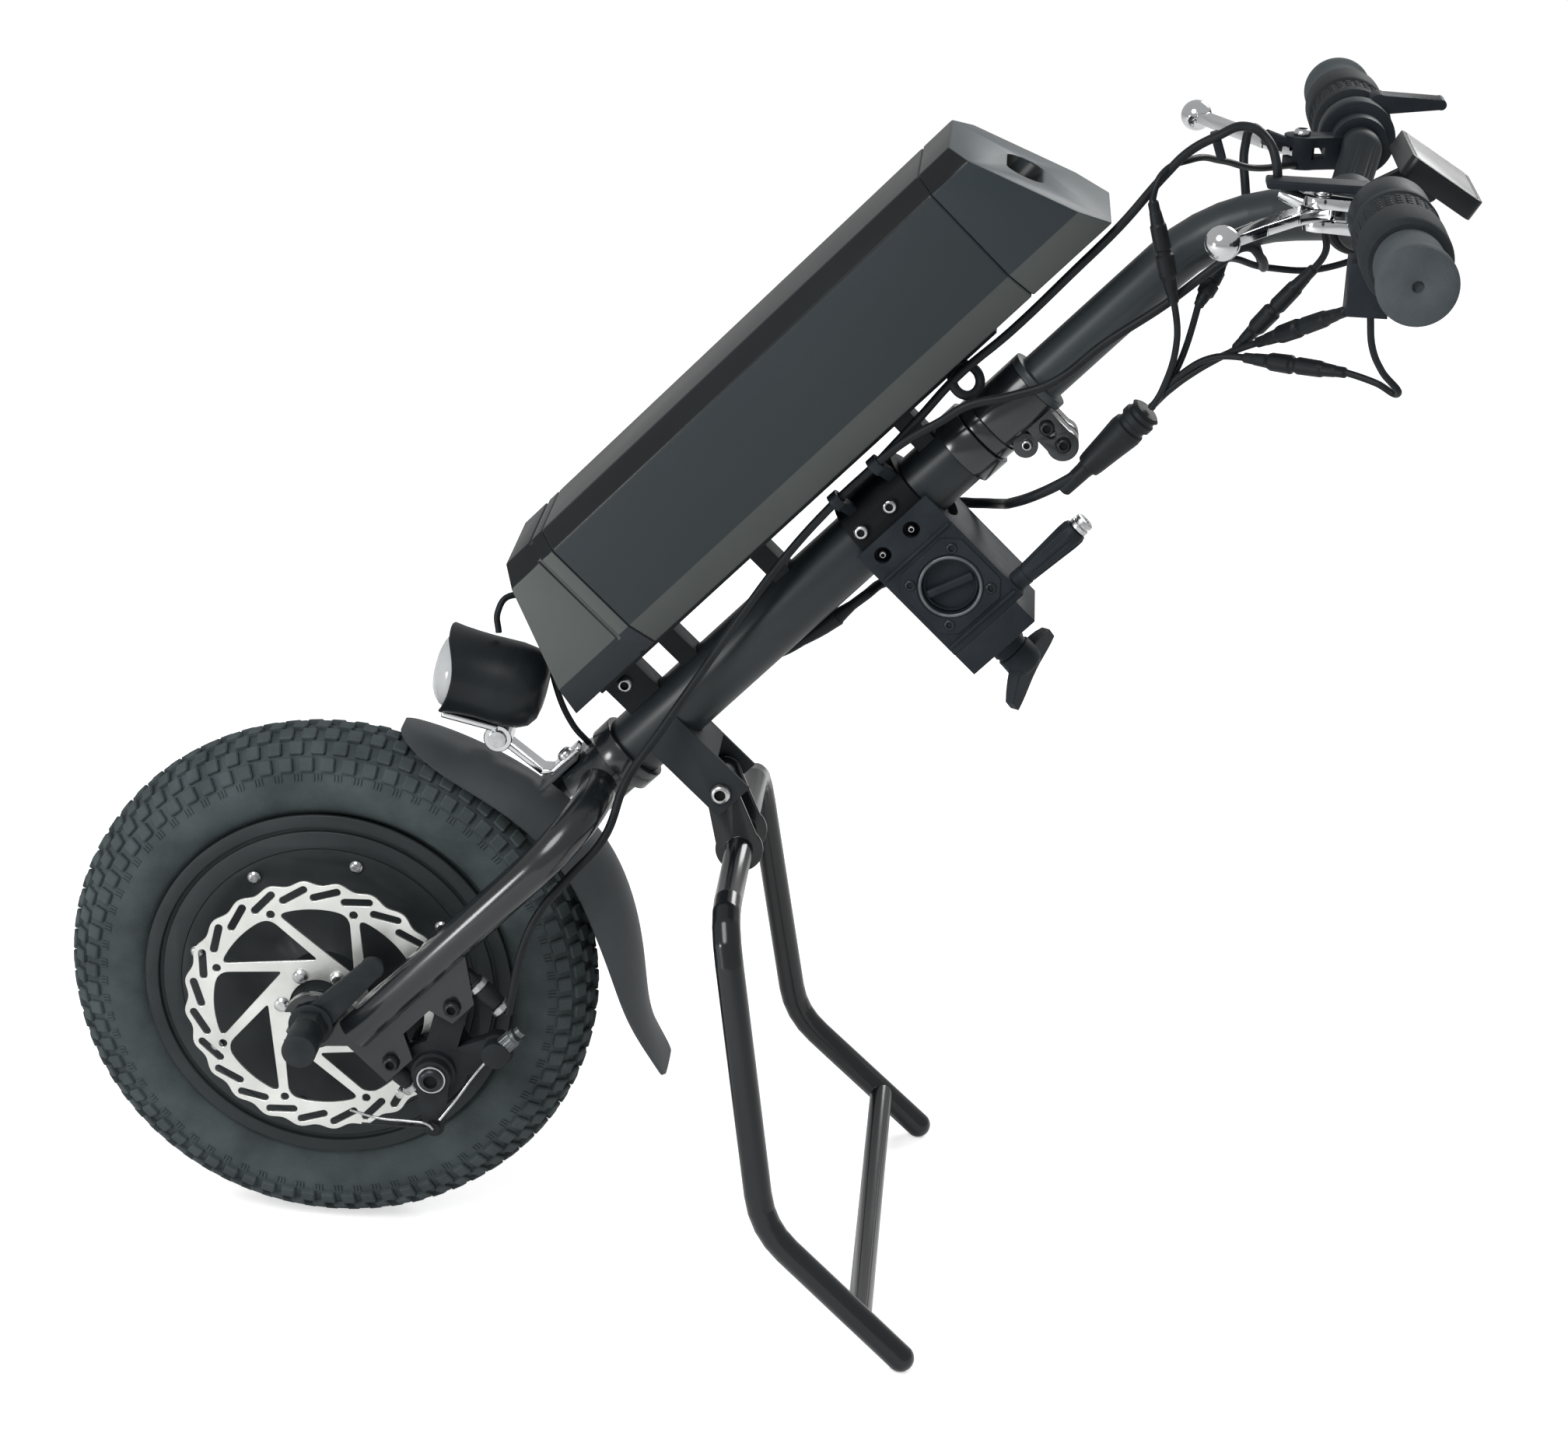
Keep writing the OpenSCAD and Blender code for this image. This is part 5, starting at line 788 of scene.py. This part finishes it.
# Headlight: a moulded black body with a hood over its mouth and a clear domed lens pressed in. Two
# lugs hang it on a pin, so that it tilts over a bent strip of chromed steel bolted to the crown.
lamp_black = mottled("lamp_black", (24, 28, 31), (32, 36, 39), 30, (0.3, 0.42), 0.08, shine=0.22)
chrome = mottled("chrome", (200, 202, 204), (226, 228, 230), 25, (0.06, 0.13), 0.0, Metallic=1.0)
lens_clear = mottled("lens_clear", (226, 230, 232), (240, 242, 244), 25, (0.06, 0.1), 0.0,
                     Transmission_Weight=0.55, IOR=1.49)
LAMP_AT = from_ground(0.0966, 0, 0.3506)
LAMP_AIM = Vector((-0.978, 0, 0.208))
LAMP_RINGS = [(-0.0275, 0.004), (-0.0272, 0.009), (-0.0258, 0.0160), (-0.022, 0.0213), (-0.016, 0.0242),
              (-0.008, 0.0252), (0.002, 0.0250), (0.010, 0.0248), (0.018, 0.0252), (0.025, 0.0260),
              (0.0295, 0.0270), (0.0302, 0.0264), (0.0300, 0.0250), (0.018, 0.0240), (0.0175, 0.004)]
HOOD_RISE, HOOD_REACH, HOOD_HALF = -0.001, 0.005, 0.027
HOOD_FROM, HOOD_LONG = 0.004, 0.026
SIDE_SCOOP, SCOOP_HALF = 0.0040, 0.022
lamp_body = turned("lamp_hood", LAMP_AT, LAMP_AIM, LAMP_RINGS, lamp_black, 56)
lamp_over = Vector((LAMP_AIM.z, 0, -LAMP_AIM.x))
for corner in lamp_body.data.vertices:
    off = corner.co - LAMP_AT
    ahead, over = off.dot(LAMP_AIM), off.dot(lamp_over)
    if ahead > HOOD_FROM:
        forward = ((ahead - HOOD_FROM) / HOOD_LONG) ** 2
        share = (over / HOOD_HALF) ** 2 * forward if over > 0 else 0
        scoop = SIDE_SCOOP * forward * max(0, 1 - (over / SCOOP_HALF) ** 2)
        corner.co += lamp_over * HOOD_RISE * share + LAMP_AIM * (HOOD_REACH * share - scoop)
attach(lamp_body, "headlight")
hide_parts("headlight_body")
LAMP_PIVOT = from_stem(-0.0592, 0, 0.182)
LUG_SIZE, LUG_APART, LUG_BELOW, LUG_ROUND = (0.010, 0.0036, 0.0155), 0.0064, 0.004, 0.0015
PIN_RINGS = [(-0.0108, 0.002), (-0.0106, 0.0050), (-0.0085, 0.0056), (-0.0082, 0.0025), (0.0082, 0.0025),
             (0.0085, 0.0056), (0.0106, 0.0050), (0.0108, 0.0034), (0.0100, 0.0030), (0.0098, 0.001)]
ACROSS = Vector((0, 1, 0))
lugs = []
for side in (-1, 1):
    lug_at = LAMP_PIVOT + Vector((0, side * LUG_APART, LUG_SIZE[2] / 2 - LUG_BELOW))
    lugs.append(block("lug", lug_at, LUG_SIZE, 0, lamp_black, LUG_ROUND))
lugs.append(turned("pin", LAMP_PIVOT, ACROSS, PIN_RINGS, screw_zinc, 24))
lamp_lugs = joined("lamp_lugs", lugs)
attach(lamp_lugs, "headlight")
LENS_RINGS = [(0.0178, 0.0100), (0.0179, 0.0236), (0.0270, 0.0236), (0.0310, 0.0222), (0.0345, 0.0188),
              (0.0368, 0.0145), (0.0382, 0.0090), (0.0387, 0.0030)]
lens = turned("domed_lens", LAMP_AT, LAMP_AIM, LENS_RINGS, lens_clear, 48)
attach(lens, "headlight")
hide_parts("headlight_lens")
FOOT_AHEAD, FOOT_UNDER, FOOT_SIZE, FOOT_ROUND = 0.0115, 0.0262, (0.034, 0.020, 0.0042), 0.0014
lamp_foot = block("lamp_foot", LAMP_AT + LAMP_AIM * FOOT_AHEAD - lamp_over * FOOT_UNDER, FOOT_SIZE,
                  atan2(LAMP_AIM.z, -LAMP_AIM.x), chrome, FOOT_ROUND)
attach(lamp_foot, "headlight")
STRIP_POINTS = [(-0.0592, 0.182), (-0.0270, 0.1855), (-0.0222, 0.1900), (-0.0222, 0.2100)]
STRIP_WIDE, STRIP_THICK, STRIP_LAP, STRIP_ROUND = 0.0145, 0.0034, 0.6, 0.0009
EYE_RINGS = [(-0.0086, 0.0058), (-0.0086, 0.0078), (-0.0080, 0.0084), (0.0080, 0.0084), (0.0086, 0.0078),
             (0.0086, 0.0058)]
strip = []
for (x0, s0), (x1, s1) in zip(STRIP_POINTS, STRIP_POINTS[1:]):
    first, last = from_stem(x0, 0, s0), from_stem(x1, 0, s1)
    run = last - first
    length_size = (run.length + STRIP_THICK * STRIP_LAP, STRIP_WIDE, STRIP_THICK)
    strip.append(block("strip", (first + last) / 2, length_size, -atan2(run.z, run.x), chrome, STRIP_ROUND))
strip.append(turned("eye", LAMP_PIVOT, ACROSS, EYE_RINGS, chrome, 32))
bracket = joined("bent_lamp_strip", strip)
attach(bracket, "steering")
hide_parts("light_bracket")


# Main tube: one long steel head tube with pressed headset cups, a welded stand bracket and the clamp
# collar of the dock, all in satin black paint. The battery's rail is screwed along its front.
tube_satin = mottled("tube_satin", (33, 38, 41), (42, 47, 51), 9, (0.3, 0.42), 0.03, bump_grain=420,
                     shine=0.32)
bracket_satin = mottled("bracket_satin", (34, 38, 41), (44, 48, 51), 12, (0.45, 0.6), 0.05, shine=0.15)
collar_black = mottled("collar_black", (14, 16, 18), (19, 22, 25), 20, (0.5, 0.62), 0.06, shine=0.08)
finished("main_tube", "frame", tube_satin, 0.0006)
finished("headset_cups", "frame", gloss_black, 0.0006)
finished("stand_bracket", "frame", bracket_satin, 0.001)
finished("tube_collar", "frame", collar_black, 0.0006)
FRAME_SCREWS = [(from_stem(0.0506, -0.0201, 0.25744), NEAR, 0.0062, 0.0042),
                (from_stem(0.0506, 0.0201, 0.25744), -NEAR, 0.0068, 0.0060),
                (from_stem(-0.0088, -0.0252, 0.450), NEAR, 0.0042, 0.0024),
                (from_stem(-0.0088, -0.0252, 0.428), NEAR, 0.0042, 0.0024),
                (from_stem(0.009, -0.0252, 0.450), NEAR, 0.0022, 0.0022),
                (from_stem(0.009, -0.0252, 0.428), NEAR, 0.0022, 0.0022),
                (from_stem(-0.0325, -0.0091, 0.261), NEAR, 0.0048, 0.0036)]
BUSH_STEM = (0.048, 0.443)
BUSH_SCREW_OFF, BUSH_SCREW_OUT, BUSH_HEAD_R, BUSH_HEAD_H = 0.016, 0.0271, 0.0034, 0.0020
frame_screws = [socket_screw(*screw, screw_zinc) for screw in FRAME_SCREWS]
for side in (-1, 1):
    for x in (-BUSH_SCREW_OFF, BUSH_SCREW_OFF):
        for up in (-BUSH_SCREW_OFF, BUSH_SCREW_OFF):
            place = from_stem(BUSH_STEM[0] + x, side * BUSH_SCREW_OUT, BUSH_STEM[1] + up)
            bush_screw = socket_screw(place, Vector((0, side, 0)), BUSH_HEAD_R, BUSH_HEAD_H, screw_dark)
            frame_screws.append(bush_screw)
screws = joined("frame_screws", frame_screws)
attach(screws, "frame")
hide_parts("frame_bolts")
rail_black = mottled("rail_black", (30, 34, 37), (40, 44, 47), 20, (0.45, 0.6), 0.06, shine=0.15)
finished("battery_rail", "frame", rail_black, 0.0006)
inside("headset_bearings", bearing_steel)


# Battery: an extruded case of anodised alloy between a moulded base, which stays on the rail, and
# a moulded top cap. The cells fill the case.
case_slate = mottled("case_slate", (46, 52, 55), (51, 57, 60), 5, (0.45, 0.55), 0.05, bump_grain=1600,
                     shine=0.2)
cap_slate = mottled("cap_slate", (44, 51, 55), (51, 58, 61), 6, (0.42, 0.55), 0.06, shine=0.2)
base_grey = mottled("base_grey", (44, 48, 52), (54, 58, 62), 7, (0.5, 0.62), 0.08, shine=0.2)
cell_wrap = mottled("cell_wrap", (40, 90, 120), (52, 104, 134), 40, (0.3, 0.45))
case_black = mottled("case_black", (18, 21, 24), (26, 30, 33), 6, (0.3, 0.42), 0.04, shine=0.28)
# A paler copy of the slate: painted light on the lower chamfers of the case and the cap
chamfer_painted_light = mottled("chamfer_painted_light", (70, 74, 73), (82, 86, 84), 5, (0.42, 0.55), 0.05, shine=0.2)
# A paler copy of the base's grey: painted light on the base's side faces
base_side_painted_light = mottled("base_side_painted_light", (82, 87, 85), (92, 97, 95), 7, (0.5, 0.62), 0.08, shine=0.2)


def repaint(piece, material, chosen):
    """Gives the faces that are chosen by their normal another material: a real colour band, or painted light
    on faces turned one way
    """
    piece.data.materials.append(material)
    for face in piece.data.polygons:
        if chosen(face.normal):
            face.material_index = len(piece.data.materials) - 1


def on_chamfer(normal):
    return normal.dot(stem_behind) > 0.3 and abs(normal.y) > 0.3


def on_back(normal):
    return normal.dot(stem_behind) < -0.25 and abs(normal.dot(stem_up)) < 0.6


base = finished("battery_base", "frame", base_grey, 0.002)
# Painted light: the base's faces square to the axle take the paler grey
repaint(base, base_side_painted_light, lambda normal: abs(normal.y) > 0.9)
repaint(base, case_black, on_back)
case = finished("battery_case", "battery", case_slate, 0.003, steps=3)
repaint(case, case_black, on_back)
# Painted light: the lower chamfers of the case and the cap, facing back and down, are painted paler
repaint(case, chamfer_painted_light, on_chamfer)
cap = finished("battery_cap", "battery", cap_slate, 0.002)
repaint(cap, case_black, on_back)
repaint(cap, chamfer_painted_light, on_chamfer)
# Painted light: the cap's faces turned up the stem take a lighter copy of its slate
cap_end = mottled("cap_end", (72, 80, 84), (82, 90, 94), 6, (0.42, 0.55), 0.06, shine=0.2)
repaint(cap, cap_end, lambda normal: normal.dot(stem_up) > 0.6)
inside("battery_cells", cell_wrap)


# Chair dock: a glass filled nylon block on the collar, its round bush for the chair's cross bar closed
# by dust plugs. It has a face plate with four screws, an end cap, a wing knob that drives a clamp shoe
# and a pull handle for the release pin.
dock_black = mottled("dock_black", (26, 31, 36), (36, 42, 47), 40, (0.45, 0.6), 0.14, shine=0.16)
finished("dock_block", "frame", dock_black, 0.0022, steps=3)
finished("dock_cap", "frame", dock_black, 0.001)
finished("dock_bush", "frame", dock_black, 0.0008)
BUSH_AT = from_stem(BUSH_STEM[0], 0, BUSH_STEM[1])
# The thin flattened grey ring at the bush's mouth is a painted highlight on the bush's edge, in the barrel's
# grey
HIGHLIGHT_RING_R, HIGHLIGHT_RING_T, HIGHLIGHT_RING_OUT, HIGHLIGHT_RING_FLAT = 0.0172, 0.0008, 0.0281, 0.5
PLUG_GRIP_OUT, PLUG_GRIP_TURN, PLUG_GRIP_ROUND = 0.0235, radians(-28), 0.0014
PLUG_GRIP = (0.0285, 0.0060, 0.0050)
CAP_RINGS = [(0.0225, 0.003), (0.0226, 0.0140), (0.0230, 0.0158), (0.0270, 0.0158), (0.0281, 0.0165),
             (0.0283, 0.0178), (0.0296, 0.0178), (0.0302, 0.0168), (0.0303, 0.0040)]
PLUG_RINGS = [(0.0130, 0.003), (0.0131, 0.0150), (0.0140, 0.0158), (0.0240, 0.0158), (0.0245, 0.0152),
              (0.0245, 0.0142), (0.0222, 0.0138), (0.0220, 0.0040)]
far_cap = turned("cap", BUSH_AT, -NEAR, CAP_RINGS, dock_black, 48)
plug = turned("plug", BUSH_AT, NEAR, PLUG_RINGS, dock_black, 48)
plug_grip = block("plug_grip", BUSH_AT + NEAR * PLUG_GRIP_OUT, PLUG_GRIP, PLUG_GRIP_TURN, dock_black,
                  PLUG_GRIP_ROUND)
dust_cap = joined("bush_dust_cap", [far_cap, plug, plug_grip])
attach(dust_cap, "frame")
# Painted highlight: a grey torus laid round the bush's mouth, where its edge catches the light
bush_mouth = BUSH_AT + NEAR * HIGHLIGHT_RING_OUT
clear_selection()
bpy.ops.mesh.primitive_torus_add(major_radius=HIGHLIGHT_RING_R, minor_radius=HIGHLIGHT_RING_T, major_segments=64,
                                 minor_segments=10, location=bush_mouth, rotation=(pi / 2, 0, 0))
painted_rim_highlight = bpy.context.active_object
painted_rim_highlight.name = "painted_rim_highlight"
settle()
edit_all()
bpy.ops.transform.resize(value=(1, HIGHLIGHT_RING_FLAT, 1), center_override=bush_mouth)
bpy.ops.object.mode_set(mode="OBJECT")
bpy.ops.object.shade_smooth_by_angle(angle=radians(60))
painted_rim_highlight.data.materials.append(barrel_grey)
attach(painted_rim_highlight, "frame")
FACE_HALF, FACE_CUT, FACE_T, FACE_EDGE, FACE_ROUND = 0.0238, 0.0080, 0.0014, 0.0004, 0.0015
FACE_BORE, FACE_OUT = 0.0187, 0.0273
DOCK_RIBS, DOCK_RIB_OUT, DOCK_RIB_ROUND = (0.0205, 0.0745), 0.0272, 0.0005
DOCK_RIB_SIZE = (0.050, 0.0024, 0.0018)


def on_stem(along, across):
    """A flat place on the near side, turned with the stem"""
    return spoke(along, STEM_TILT) + spoke(across, STEM_TILT + pi / 2)


face_cut = FACE_HALF - FACE_CUT
octagon = [(FACE_HALF, -face_cut), (FACE_HALF, face_cut), (face_cut, FACE_HALF), (-face_cut, FACE_HALF),
           (-FACE_HALF, face_cut), (-FACE_HALF, -face_cut), (-face_cut, -FACE_HALF), (face_cut, -FACE_HALF)]
face_rim = rounded_loop([on_stem(*corner) for corner in octagon], [FACE_ROUND] * len(octagon), 3)
face_hole = ring_loop(Vector((0, 0)), FACE_BORE, BORE_STEPS)
dock_face = stamped("face", [face_rim, face_hole], FACE_T, FACE_EDGE, BUSH_AT + NEAR * FACE_OUT)
dock_face.data.materials.append(dock_black)
face_parts = [dock_face]
for x in DOCK_RIBS:
    rib_at = from_stem(x, -DOCK_RIB_OUT, BUSH_STEM[1])
    face_parts.append(block("rib", rib_at, DOCK_RIB_SIZE, -STEM_TILT, dock_black, DOCK_RIB_ROUND))
dock_face = joined("dock_face", face_parts)
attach(dock_face, "frame")
PULL_AT = from_stem(0.074, -0.016, 0)
PULL_RINGS = [(0.4535, 0.0020), (0.454, 0.003), (0.4745, 0.0036), (0.475, 0.0048), (0.4762, 0.0056),
              (0.4785, 0.0060), (0.484, 0.0063), (0.494, 0.0069), (0.503, 0.0075), (0.508, 0.0078),
              (0.5125, 0.0077), (0.5145, 0.0068), (0.5150, 0.0046)]
PULL_NUT = [(0.5151, 0.0040), (0.5152, 0.0056), (0.5160, 0.0060), (0.5180, 0.0060), (0.5186, 0.0048),
            (0.5196, 0.0048), (0.5199, 0.0057), (0.5218, 0.0055), (0.5224, 0.0044), (0.5222, 0.0024),
            (0.5205, 0.0016)]
PULL_FLUTES, FLUTE_SPAN, FLUTE_DEEP = 9, (0.482, 0.511), 0.13
pull = turned("pull_handle", PULL_AT, stem_up, PULL_RINGS, dock_black, 72)
grooved(pull, PULL_AT, FLUTE_SPAN, PULL_FLUTES, FLUTE_DEEP)
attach(pull, "release")
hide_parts("release_handle")
pull_nut = turned("pull_handle_nut", PULL_AT, stem_up, PULL_NUT, screw_zinc, 32)
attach(pull_nut, "release")
KNOB_S = 0.436
KNOB_AT = from_stem(0, 0, KNOB_S)
KNOB_RINGS = [(0.0960, 0.0040), (0.0962, 0.0092), (0.0970, 0.0102), (0.1035, 0.0106), (0.1040, 0.0098),
              (0.1060, 0.0098), (0.1065, 0.0108), (0.114, 0.0112), (0.119, 0.0098), (0.1215, 0.0070),
              (0.1220, 0.0040)]
WING_LONG, WING_THICK, WING_WIDE = 0.050, 0.0090, 0.0165
WING_OUT, WING_TURN, WING_CUTS, WING_ROUND = 0.1165, radians(-58), 9, 0.0026
WING_SWEEP, WING_NARROW, WING_THIN = 0.0085, 0.5, 0.35
hub = turned("knob_hub", KNOB_AT, stem_behind, KNOB_RINGS, dock_black, 40)
clear_selection()
wing_middle = from_stem(WING_OUT, 0, KNOB_S)
bpy.ops.mesh.primitive_cube_add(size=1, location=wing_middle, rotation=(0, -STEM_TILT, 0),
                                scale=(WING_LONG, WING_THICK, WING_WIDE))
wings = bpy.context.active_object
settle()
edit_all()
bpy.ops.mesh.subdivide(number_cuts=WING_CUTS)
bpy.ops.object.mode_set(mode="OBJECT")
for corner in wings.data.vertices:
    off = corner.co - wing_middle
    reach = abs(off.dot(stem_up)) / (WING_LONG / 2)
    out = off.dot(stem_behind)
    corner.co += stem_behind * (WING_SWEEP * reach ** 1.5 - out * WING_NARROW * reach ** 3)
    corner.co.y -= off.y * WING_THIN * reach
edit_all()
bpy.ops.transform.rotate(value=WING_TURN, orient_axis="Z", orient_matrix=(stem_up, ACROSS, stem_behind),
                         orient_type="LOCAL", orient_matrix_type="LOCAL", center_override=wing_middle)
bpy.ops.object.mode_set(mode="OBJECT")
rounded = wings.modifiers.new("rounded", "BEVEL")
rounded.width = WING_ROUND
rounded.segments = 3
rounded.limit_method = "ANGLE"
rounded.angle_limit = radians(50)
bpy.ops.object.modifier_apply(modifier=rounded.name)
bpy.ops.object.shade_smooth_by_angle(angle=radians(45))
wings.data.materials.append(dock_black)
knob = joined("pointed_wing_knob", [hub, wings])
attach(knob, "knob")
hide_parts("wing_knob")
inside("clamp_shoe", dock_black)


# Cable junction, clips and ring: the leads meet in a moulded splitter, two clips on the collar hold the
# brake outers, and a ring of covered wire on the battery's rail guides them past the headset.
JUNCTION = [(0.0518, -0.015, 0.5445), (0.0489, -0.0224, 0.5907)]
JUNCTION_R = 0.0075
JUNCTION_SHAPE = [(-0.45, 0.45), (-0.43, 0.58), (-0.1, 0.66), (-0.02, 0.72), (0.0, 0.95), (0.3, 1.15),
                  (0.62, 1.35), (0.7, 1.3), (0.72, 1.12), (0.78, 1.12), (0.8, 1.3), (0.88, 1.3), (0.9, 1.12),
                  (0.95, 1.12), (0.97, 1.25), (1.0, 1.0)]
junction_low, junction_high = from_stem(*JUNCTION[0]), from_stem(*JUNCTION[1])
junction = swept("moulded_junction", [junction_low.lerp(junction_high, t) for t, _ in JUNCTION_SHAPE],
                 JUNCTION_R, cable_black, sides=20, swell=[share for _, share in JUNCTION_SHAPE])
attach(junction, "frame")
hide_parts("cable_junction")
finished("cable_clips", "frame", dock_black, 0.0006)
RING_TURNS, RING_R, RING_LEAN, RING_THICK = 12, 0.0085, radians(38), OUTER_R * 1.1
RING_AT, RING_TAB_AT = (-0.0315, -0.0215, 0.530), (-0.0408, -0.0195, 0.530)
RING_TAB_SIZE, RING_TAB_ROUND = (0.010, 0.0070, 0.0040), 0.0008
ring_path = []
for k in range(RING_TURNS + 1):
    across, along = RING_R * cos(2 * pi * k / RING_TURNS), RING_R * sin(2 * pi * k / RING_TURNS)
    ring_path.append(from_stem(RING_AT[0] + across, RING_AT[1] + along * sin(RING_LEAN),
                               RING_AT[2] + along * cos(RING_LEAN)))
cable_ring = joined("cable_ring", [
    swept("ring", ring_path, RING_THICK, cable_black),
    block("ring_tab", from_stem(*RING_TAB_AT), RING_TAB_SIZE, -STEM_TILT, rail_black, RING_TAB_ROUND)])
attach(cable_ring, "frame")


# Stem and handlebar: a cast clamp on the steerer under a locknut, a gooseneck riser bent from steel
# tube and the bar that it holds. Clamp and nut are in gloss black paint, riser and bar in satin.
finished("headset_nut", "steering", gloss_black, 0.0005)
finished("stem_clamp", "steering", gloss_black, 0.001)
riser_satin = mottled("riser_satin", (46, 52, 55), (56, 62, 65), 9, (0.32, 0.44), 0.03, bump_grain=420,
                      shine=0.3)
finished("riser", "steering", riser_satin, 0.0006)
finished("handlebar", "steering", bracket_satin, 0.0006)


# Grips: on each end of the bar a drum of dark rubber with rows of small studs, and outside it a grey
# sleeve with a flared rim and a hole in its end. Both are moulded and pushed on.
grip_grey = mottled("grip_grey", (64, 70, 73), (78, 84, 87), 40, (0.7, 0.88), 0.25, shine=0.15)
GRIP_AT = from_ground(0.56543, 0, 0.67475)
GRIP_RINGS = [(0.2040, 0.0112), (0.2042, 0.0176), (0.206, 0.0178), (0.218, 0.0177), (0.232, 0.0180),
              (0.2385, 0.0184), (0.2405, 0.0198), (0.2470, 0.0200), (0.2492, 0.0192), (0.2500, 0.0170),
              (0.2500, 0.0036), (0.2496, 0.0030), (0.2470, 0.0028), (0.2468, 0.0006)]
DRUM_RINGS = [(0.1320, 0.0112), (0.1322, 0.0206), (0.1332, 0.0222), (0.1400, 0.0226), (0.1414, 0.0214),
              (0.1660, 0.0208), (0.1674, 0.0222), (0.1700, 0.0228), (0.1980, 0.0226), (0.2010, 0.0218),
              (0.2032, 0.0198), (0.2036, 0.0112)]
GRIP_STUDS, STUD_ROWS = 26, (0.1450, 0.1505, 0.1560, 0.1615)
STUD_OUT, STUD_SIZE, STUD_BEVEL = 0.0209, (0.0018, 0.0036, 0.0030), 0.0004
grip_dark = mottled("grip_dark", (32, 36, 39), (44, 48, 51), 40, (0.6, 0.78), 0.2, shine=0.15)
grip_pieces = []
for side in (-1, 1):
    grip_pieces.append(turned("grip_sleeve", GRIP_AT, Vector((0, side, 0)), GRIP_RINGS, grip_grey, 64))
    drum = turned("grip_drum", GRIP_AT, Vector((0, side, 0)), DRUM_RINGS, grip_dark, 64)
    bpy.ops.object.mode_set(mode="EDIT")
    for along in STUD_ROWS:
        bpy.ops.mesh.select_all(action="DESELECT")
        bpy.ops.mesh.primitive_cube_add(size=1, location=GRIP_AT + Vector((STUD_OUT, side * along, 0)),
                                        scale=STUD_SIZE)
        bpy.ops.mesh.bevel(offset=STUD_BEVEL, segments=1, affect="EDGES")
        bpy.ops.mesh.select_linked()
        bpy.ops.mesh.spin(steps=GRIP_STUDS - 1, dupli=True, angle=2 * pi * (GRIP_STUDS - 1) / GRIP_STUDS,
                          center=GRIP_AT, axis=(0, 1, 0))
    bpy.ops.object.mode_set(mode="OBJECT")
    grip_pieces.append(drum)
grips = joined("grip_sleeves", grip_pieces)
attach(grips, "steering")
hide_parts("grips")


# Levers: cast perches clamped on the bar and forged levers with ball ends, polished and chromed. The
# far perch is painted black; a moulded cover lies on the near one and a tie holds the outers.
perches = finished("lever_perches", "steering", chrome, 0.0008)
perches.data.materials.append(dock_black)
for face in perches.data.polygons:
    face.material_index = 1 if face.center.y > 0 else 0
COVER_AT, COVER_SIZE, COVER_ROUND = (0.530, -0.0745, 0.6840), (0.054, 0.017, 0.0046), 0.0014
perch_cover = block("perch_cover", from_ground(*COVER_AT), COVER_SIZE, 0, dock_black, COVER_ROUND)
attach(perch_cover, "steering")
TIE_AT, TIE_TURN, TIE_ROUND = (0.4790, -0.0345, 0.6935), radians(-20), 0.0010
TIE_SIZE = (0.0050, 0.0086, 0.0150)
cable_tie = block("cable_tie", from_ground(*TIE_AT), TIE_SIZE, TIE_TURN, dock_black, TIE_ROUND)
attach(cable_tie, "steering")
finished("left_brake_lever", "left_lever", chrome, 0.0008)
finished("right_brake_lever", "right_lever", chrome, 0.0008)


# Switch and throttle: moulded drums clamped on the bar beside the grips. The near one carries a switch
# box with a red button, and the far one a thumb paddle that springs back.
finished("switch_housing", "steering", dock_black, 0.0008)
button_red = mottled("button_red", (150, 26, 24), (176, 36, 32), 60, (0.35, 0.5), 0.06)
finished("switch_button", "button", button_red, 0.0005)
finished("throttle_housing", "steering", dock_black, 0.0008)
finished("throttle_lever", "throttle", dock_black, 0.001)


# Display: a flat moulded case on a foot over the bar, in black plastic. Its pale glass window is glued
# into the face that the rider sees.
glass_grey = mottled("glass_grey", (140, 142, 140), (158, 160, 158), 20, (0.3, 0.42), 0.0, shine=0.3)
finished("display_case", "steering", case_black, 0.0015)
finished("display_glass", "steering", glass_grey, 0.0005)


# Stand: two bent legs of steel tube under a yoke, joined by a welded cross bar, in gloss black paint.
# It folds up on one bolt through the bracket of the main tube.
stand_black = mottled("stand_black_paint", (16, 18, 21), (22, 25, 28), 9, (0.16, 0.26), 0.02, bump_grain=420,
                      shine=0.36, Coat_Weight=0.25, Coat_Roughness=0.12)
finished("stand_legs", "stand", stand_black, 0.0006)
